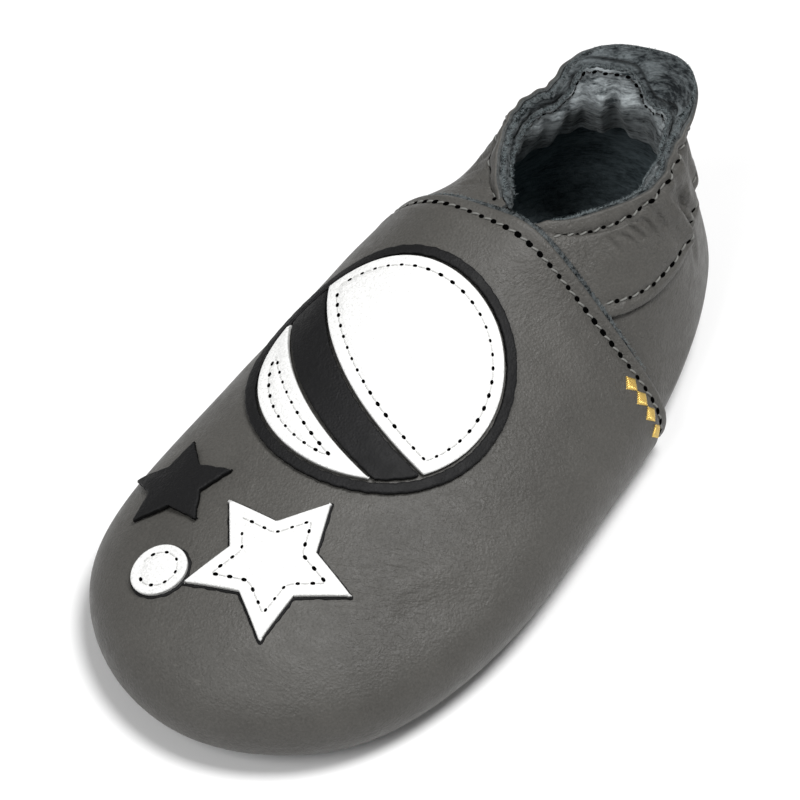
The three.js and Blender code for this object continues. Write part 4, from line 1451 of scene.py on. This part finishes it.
def casing_edge(u):
    """How far below the elastic line the raw edge lies."""
    turn = turn_of(*outline(u))
    ragged = 0.09 * np.sin(np.radians(turn) * 31) + 0.06 * np.sin(np.radians(turn) * 83 + 1)
    return stitch_down(turn) - CASING_SEAM - casing_lift(turn) + ragged


def casing_fold(u, down):
    turn = turn_of(*outline(u))
    under_edge = down - casing_edge(u)
    total = np.zeros_like(turn)
    for row in CASING_FOLDS:
        t = ((turn - row["turn"] + 180) % 360 - 180) / row["width"]
        total = total + row["stand"] * np.exp(-t * t) * smooth(row["start"], row["start"] + 4.5, under_edge)
    return total


def casing_point(u, down, height):
    return hide(u, w_below(u, down), height - casing_fold(u, down), INNER_SHARE)


CASING_OUTER = -WALL - FIT_GAP
CASING_INNER = CASING_OUTER - CASING_THICK


CASING_COLUMNS = 560
CASING_INNER_ROWS = 60
CASING_OUTER_ROWS = 24


def casing():
    u = dense_behind(CASING_COLUMNS, FRONT_SHARE)
    low, top = np.full(len(u), CASING_DEPTH), casing_edge(u)
    path = [(mix(low, top + 0.3, share), CASING_INNER) for share in np.linspace(0, 1, CASING_INNER_ROWS)]
    bend_from = len(path)
    path += [(top + 0.1, CASING_INNER + 0.12), (top, CASING_INNER + 0.3), (top + 0.05, CASING_OUTER - 0.12)]
    bend_to = len(path)
    path += [(mix(low, top + 0.3, share), CASING_OUTER) for share in np.linspace(1, 0, CASING_OUTER_ROWS)]
    points = np.concatenate([casing_point(u, down, height) for down, height in path])
    faces = ring_faces(len(path), len(u), True)[:, ::-1]
    slots = np.repeat([int(bend_from <= i + 1 <= bend_to) for i in range(len(path))], len(u))
    # The band wears the lighter casing suede, painted light; its bend wears the raw edge.
    wear(new_mesh("casing_suede_painted_light", points, [faces], [LIT_CASING_SUEDE, TEAL_EDGE], slots), "suede", ["elastic_casing"])


casing()


def on_casing(params, height):
    return casing_point(params[:, 0], params[:, 1], height)


def casing_line(first_turn, last_turn, under):
    u = u_of_turn(np.linspace(first_turn, last_turn, LINE_STEPS))
    return np.stack([u, casing_edge(u) + under], 1)


def inward(params, height):
    """Heights count inwards here, so that the stitches lie on the inner face."""
    return on_casing(params, -height)


casing_seam = casing_line(18, 335, 0.85)
sew("casing_stitch", casing_seam, inward, -CASING_INNER + 0.02, CASING_SEW, BLACK_THREAD, "suede")


def edge_fuzz():
    line = casing_line(18, 335, 0.0)
    ups = on_casing(line - [0, 0.5], CASING_INNER) - on_casing(line, CASING_INNER)
    outs = on_casing(line, CASING_INNER - 1) - on_casing(line, CASING_INNER)
    roots = on_casing(line, mix(CASING_INNER, CASING_OUTER, 0.3))
    fuzz("casing_fuzz", roots, unit(ups), unit(outs), CASING_FIBRES, 0.75)
    u = u_of_turn(np.linspace(14, 338, LINE_STEPS))
    rim = rim_w(u, np.full(len(u), 2.99))
    base, under = hide(u, rim, -0.3), hide(u, rim - 0.1, -0.3)
    fuzz("rim_fuzz", base, unit(base - under), unit(hide(u, rim, -1.3) - base), RIM_FIBRES, 0.7)


edge_fuzz()


# Sole and footbed.


PLATE_COLUMNS = 320
PLATE_RINGS = 14
PLATE_BEND = 7


def plate(name, inset, low, high, edge_round, materials, slot, node):
    """A plate inside the outline, with a rounded edge, that follows the underside of the shoe."""
    u = np.linspace(0, 1, PLATE_COLUMNS, endpoint=False)

    def ring(extra, level):
        x, y = inset_outline(u, inset + extra)
        return np.stack([x, y, level + base_height(x, y)], -1)

    edge = ring(edge_round, 0)[:, :2]

    def cover(level):
        made = []
        for share in np.linspace(0, 1, PLATE_RINGS)[1:]:
            kept = edge[:, 1] * (1 - share)
            x, y = mix(edge, np.stack([middle(kept), kept], -1), share).T
            made.append(np.stack([x, y, level + base_height(x, y)], -1))
        return made

    rings = cover(low)[::-1]
    for angle in np.radians(np.linspace(-90, 90, PLATE_BEND)):
        level = mix(low, high, 0.5) + (high - low) / 2 * math.sin(angle)
        rings.append(ring(edge_round * (1 - math.cos(angle)), level))
    rings += cover(high)
    ends = np.stack([np.arange(len(u))[::-1], (len(rings) - 1) * len(u) + np.arange(len(u))])
    faces = [ring_faces(len(rings), len(u), False), ends]
    wear(new_mesh(name, np.concatenate(rings), faces, materials), slot, [node])


FOOTBED_LOW = SOLE_THICK + FIT_GAP
plate("sole_suede", SOLE_INSET, 0.0, SOLE_THICK, 0.9, [SOLE], "suede", "sole")
FOOTBED_TOP = FOOTBED_LOW + INSOLE_THICK
plate("footbed", TURN_IN + BUTT_GAP, FOOTBED_LOW, FOOTBED_TOP, 0.5, [DARK], "dark_suede", "insole")


# The picture on the vamp, drawn flat: sideways run over the leather from the centre line, then place along
# the shoe.

DRAPE_Y = np.arange(-66.0, 32.01, 0.5)
DRAPE_X = np.arange(-40.0, 44.01, 0.2)
DRAPE_SIDE = np.arange(-44.0, 48.01, 0.25)


def drape_table():
    """For each place along the shoe and each sideways run, the plan distance from the centre line."""
    table = []
    zero = int(np.argmin(np.abs(DRAPE_X)))
    for y in DRAPE_Y:
        z = top_height(DRAPE_X + middle(y) + VAMP_CENTRE, np.full(len(DRAPE_X), y))
        run = np.concatenate([[0], np.cumsum(np.hypot(np.diff(DRAPE_X), np.diff(z)))])
        table.append(np.interp(DRAPE_SIDE, run - run[zero], DRAPE_X))
    return np.array(table)


drape_x = drape_table()


def picture_uw(params):
    side, y = params[:, 0], params[:, 1]
    row = (y - DRAPE_Y[0]) / (DRAPE_Y[1] - DRAPE_Y[0])
    column = (side - DRAPE_SIDE[0]) / (DRAPE_SIDE[1] - DRAPE_SIDE[0])
    x = table_at(drape_x, row, column) + middle(y) + VAMP_CENTRE
    return uw_of_plan(x, y)


def on_vamp(params, height):
    u, w = picture_uw(params)
    return skin(u, w) + normal(u, w) * np.asarray(height)[..., None]


def disc_field(at, radius):
    return lambda params: radius - np.hypot(params[:, 0] - at[0], params[:, 1] - at[1])


def band_field(low, high):
    def field(params):
        angle = math.radians(STRIPE_TURN)
        x, y = params[:, 0] - PLANET_AT[0], params[:, 1] - PLANET_AT[1]
        across = x * math.cos(angle) + y * math.sin(angle)
        up = -x * math.sin(angle) + y * math.cos(angle)
        half = STRIPE_REACH * PLANET_RADIUS
        level = up + STRIPE_SAG * (1 - (across / half) ** 2)
        return np.minimum(level - low, high - level)

    return field


def outline_field(corners):
    """Distance inside a closed outline of corners."""
    corners = np.array(corners)

    def field(params):
        x, y = params[:, 0], params[:, 1]
        nearest = np.full(len(params), np.inf)
        inside = np.zeros(len(params), bool)
        for (ax, ay), (bx, by) in zip(corners, np.roll(corners, -1, axis=0)):
            dx, dy = bx - ax, by - ay
            share = np.clip(((x - ax) * dx + (y - ay) * dy) / (dx * dx + dy * dy), 0, 1)
            nearest = np.minimum(nearest, np.hypot(x - ax - share * dx, y - ay - share * dy))
            crosses = (ay > y) != (by > y)
            with np.errstate(divide="ignore", invalid="ignore"):
                at_x = ax + (y - ay) / (by - ay) * dx
            inside ^= crosses & (x < at_x)
        return np.where(inside, nearest, -nearest)

    return field


def star_corners(star):
    corners = []
    for i in range(2 * STAR_POINTS):
        reach = star["radius"] * (STAR_WAIST if i % 2 else 1)
        angle = math.pi * i / STAR_POINTS + math.radians(star["turn"])
        corners.append((star["at"][0] + reach * math.cos(angle), star["at"][1] + reach * math.sin(angle)))
    return corners


def both(*fields):
    return lambda params: np.minimum.reduce([field(params) for field in fields])


def ragged(field, swing=0.07):
    """A field whose edge wanders a little, as a hand-cut one does."""

    def wandering(params):
        x, y = params[:, 0], params[:, 1]
        slow = np.sin(2.3 * x + 1.1 * y) * np.sin(1.9 * y - 0.7 * x)
        return field(params) + swing * (slow + 0.5 * np.sin(5.1 * x) * np.sin(4.7 * y))

    return wandering


PATCH_TOP = PATCH_FROM + PATCH_THICK
PATCH_STEP = 0.42
PATCH_STITCH = 1.9
PATCH_ROUND = 0.3
PATCH_SWELL = 0.1
PATCH_DIP = rows_of("at width height", (0.0, 0.6, -0.22))
PATCH_LOOKS = {"white_leather": [WHITE, WHITE_EDGE], "black_leather": [BLACK, BLACK_EDGE]}


def patch(name, at, reach, field, slot, nodes, bottom=PATCH_FROM, top=PATCH_TOP, stitch=None, shortest=9.0):
    """One applied leather shape, with its stitches inside the edge."""
    spread = np.arange(-reach - 1, reach + 1.01, PATCH_STEP)
    sheet = Sheet.grid(at[0] + spread, at[1] + spread)
    sheet.keep(field, -1.0)

    def height(params):
        inside = field(params)
        dip = ridges(inside - stitch, PATCH_DIP) if stitch else 0.0
        return top + dip + PATCH_SWELL * smooth(0.3, 3, inside)

    levels = (stitch,) if stitch else ()
    piece, sheet = slab(name, sheet, on_vamp, field, height, bottom, PATCH_ROUND, PATCH_LOOKS[slot], levels)
    wear(piece, slot, nodes)
    if stitch:
        for number, line in enumerate(sheet.lines(stitch)):
            run = np.linalg.norm(np.diff(line, axis=0), axis=1).sum()
            if run > shortest:
                sew(f"{name}_stitch_{number}", line, on_vamp, height(line), PATCH_SEW, WHITE_THREAD, slot)


planet = disc_field(PLANET_AT, PLANET_RADIUS)
rim_inner = disc_field(PLANET_AT, PLANET_RADIUS + PATCH_GAP)
rim_outer = disc_field(PLANET_AT, PLANET_RADIUS + PATCH_GAP + RIM_WIDTH)
half_stripe = STRIPE_WIDTH / 2
far = 4 * PLANET_RADIUS
upper = both(planet, band_field(half_stripe + PATCH_GAP, far))
lower = both(planet, band_field(-far, -half_stripe - PATCH_GAP))
stripe = ragged(both(planet, band_field(-half_stripe, half_stripe)))
rim = ragged(both(rim_outer, lambda params: -rim_inner(params)))
moon = disc_field(MOON["at"], MOON["radius"])
pale_star = outline_field(star_corners(PALE_STAR))
dark_star = ragged(outline_field(star_corners(DARK_STAR)))

PLANET = (PLANET_AT, PLANET_RADIUS)
MOON_SPOT, PALE_SPOT, DARK_SPOT = [(shape["at"], shape["radius"]) for shape in (MOON, PALE_STAR, DARK_STAR)]
patch("planet_upper_leather", *PLANET, upper, "white_leather", ["planet_upper"], stitch=PATCH_STITCH)
patch("planet_lower_leather", *PLANET, lower, "white_leather", ["planet_lower"], stitch=PATCH_STITCH)
patch("planet_stripe_leather", *PLANET, stripe, "black_leather", ["planet_stripe"], top=PATCH_TOP - 0.25)
RIM_REACH = PLANET_RADIUS + 3
patch("planet_rim_leather", PLANET_AT, RIM_REACH, rim, "black_leather", ["planet_rim"], top=PATCH_TOP - 0.2)
patch("moon_leather", *MOON_SPOT, moon, "white_leather", ["moon"], stitch=1.4, shortest=5.0)
patch("pale_star_leather", *PALE_SPOT, pale_star, "white_leather", ["pale_star"], stitch=PATCH_STITCH)
patch("dark_star_leather", *DARK_SPOT, dark_star, "black_leather", ["dark_star"])

# Black leather under the white shapes, which shows as a thin dark outline.
UNDERLAY = 0.4
UNDERLAY_SWING = 0.08


def underlay(name, at, reach, field):
    under = ragged(lambda params: field(params) + UNDERLAY, UNDERLAY_SWING)
    patch(name, at, reach + 2 * UNDERLAY, under, "black_leather", [], VAMP_TOP - 0.1, PATCH_FROM - 0.05)


underlay("moon_underlay", *MOON_SPOT, moon)
underlay("pale_star_underlay", *PALE_SPOT, pale_star)


# Floor, light and camera.


FLOOR_REACH = 1.5
FLOOR_COLOUR = (0.93, 0.93, 0.93)
FLOOR_ROUGHNESS = 0.9
WORLD_STRENGTH = 0.22
LIGHT_AIM = (0, 0, 0.02)
# Soft lamps: place and width in metres, and power in watts.
LIGHTS = [
    dict(name="key", at=(0.16, 0.1, 0.74), size=0.3, power=5.2),
    dict(name="fill", at=(-0.05, -0.5, 0.62), size=0.4, power=2.2),
]


def floor():
    mesh = bpy.data.meshes.new("floor")
    corners = [(x * FLOOR_REACH, y * FLOOR_REACH, 0) for x, y in ((-1, -1), (1, -1), (1, 1), (-1, 1))]
    mesh.from_pydata(corners, [], [(0, 1, 2, 3)])
    mesh.materials.append(material("pale_floor", FLOOR_COLOUR, FLOOR_ROUGHNESS)[0])
    thing = bpy.data.objects.new("floor", mesh)
    STORE.objects.link(thing)


def area_light(name, at, size, power):
    data = bpy.data.lights.new(name, "AREA")
    data.shape = "DISK"
    data.size = size
    data.energy = power
    lamp = bpy.data.objects.new(name, data)
    lamp.location = at
    lamp.rotation_euler = (Vector(LIGHT_AIM) - Vector(at)).to_track_quat("-Z", "Y").to_euler()
    STORE.objects.link(lamp)


def lights():
    world = bpy.data.worlds.new("studio")
    world.use_nodes = True
    sky = world.node_tree.nodes["Background"].inputs
    sky["Color"].default_value = (1, 1, 1, 1)
    sky["Strength"].default_value = WORLD_STRENGTH
    bpy.context.scene.world = world
    for lamp in LIGHTS:
        area_light(**lamp)


# The photograph's view: where the camera stands and where the picture's middle looks.
CAMERA_TURN = 35.66
CAMERA_RISE = 52.76
CAMERA_AWAY = 0.6
CAMERA_LENS = 165.5
CAMERA_SENSOR = 36
# How far the picture's middle lies from the camera's foot, in the picture's pixels over the lens in pixels.
LENS_PIXELS = 3678.47
LOOK_SIDE = -24.68 / LENS_PIXELS
LOOK_UP = 72.33 / LENS_PIXELS
CAMERA_FOOT = Vector((-0.75 * MM, 0.2 * MM, 0))


def camera():
    turn, rise = math.radians(CAMERA_TURN), math.radians(CAMERA_RISE)
    back = Vector((math.sin(turn) * math.cos(rise), -math.cos(turn) * math.cos(rise), math.sin(rise)))
    right = Vector((math.cos(turn), math.sin(turn), 0))
    up = back.cross(right)
    ahead = (-back + right * LOOK_SIDE + up * LOOK_UP).normalized()
    side = ahead.cross(up).normalized()
    true_up = side.cross(ahead)
    data = bpy.data.cameras.new("camera")
    data.sensor_width = CAMERA_SENSOR
    data.lens = CAMERA_LENS
    data.clip_start = 0.01
    eye = bpy.data.objects.new("camera", data)
    turned = Matrix((side, true_up, -ahead)).transposed().to_4x4()
    eye.matrix_world = Matrix.Translation(CAMERA_FOOT + back * CAMERA_AWAY) @ turned
    STORE.objects.link(eye)
    bpy.context.scene.camera = eye


floor()
lights()
camera()
bpy.context.scene.view_settings.view_transform = "Standard"
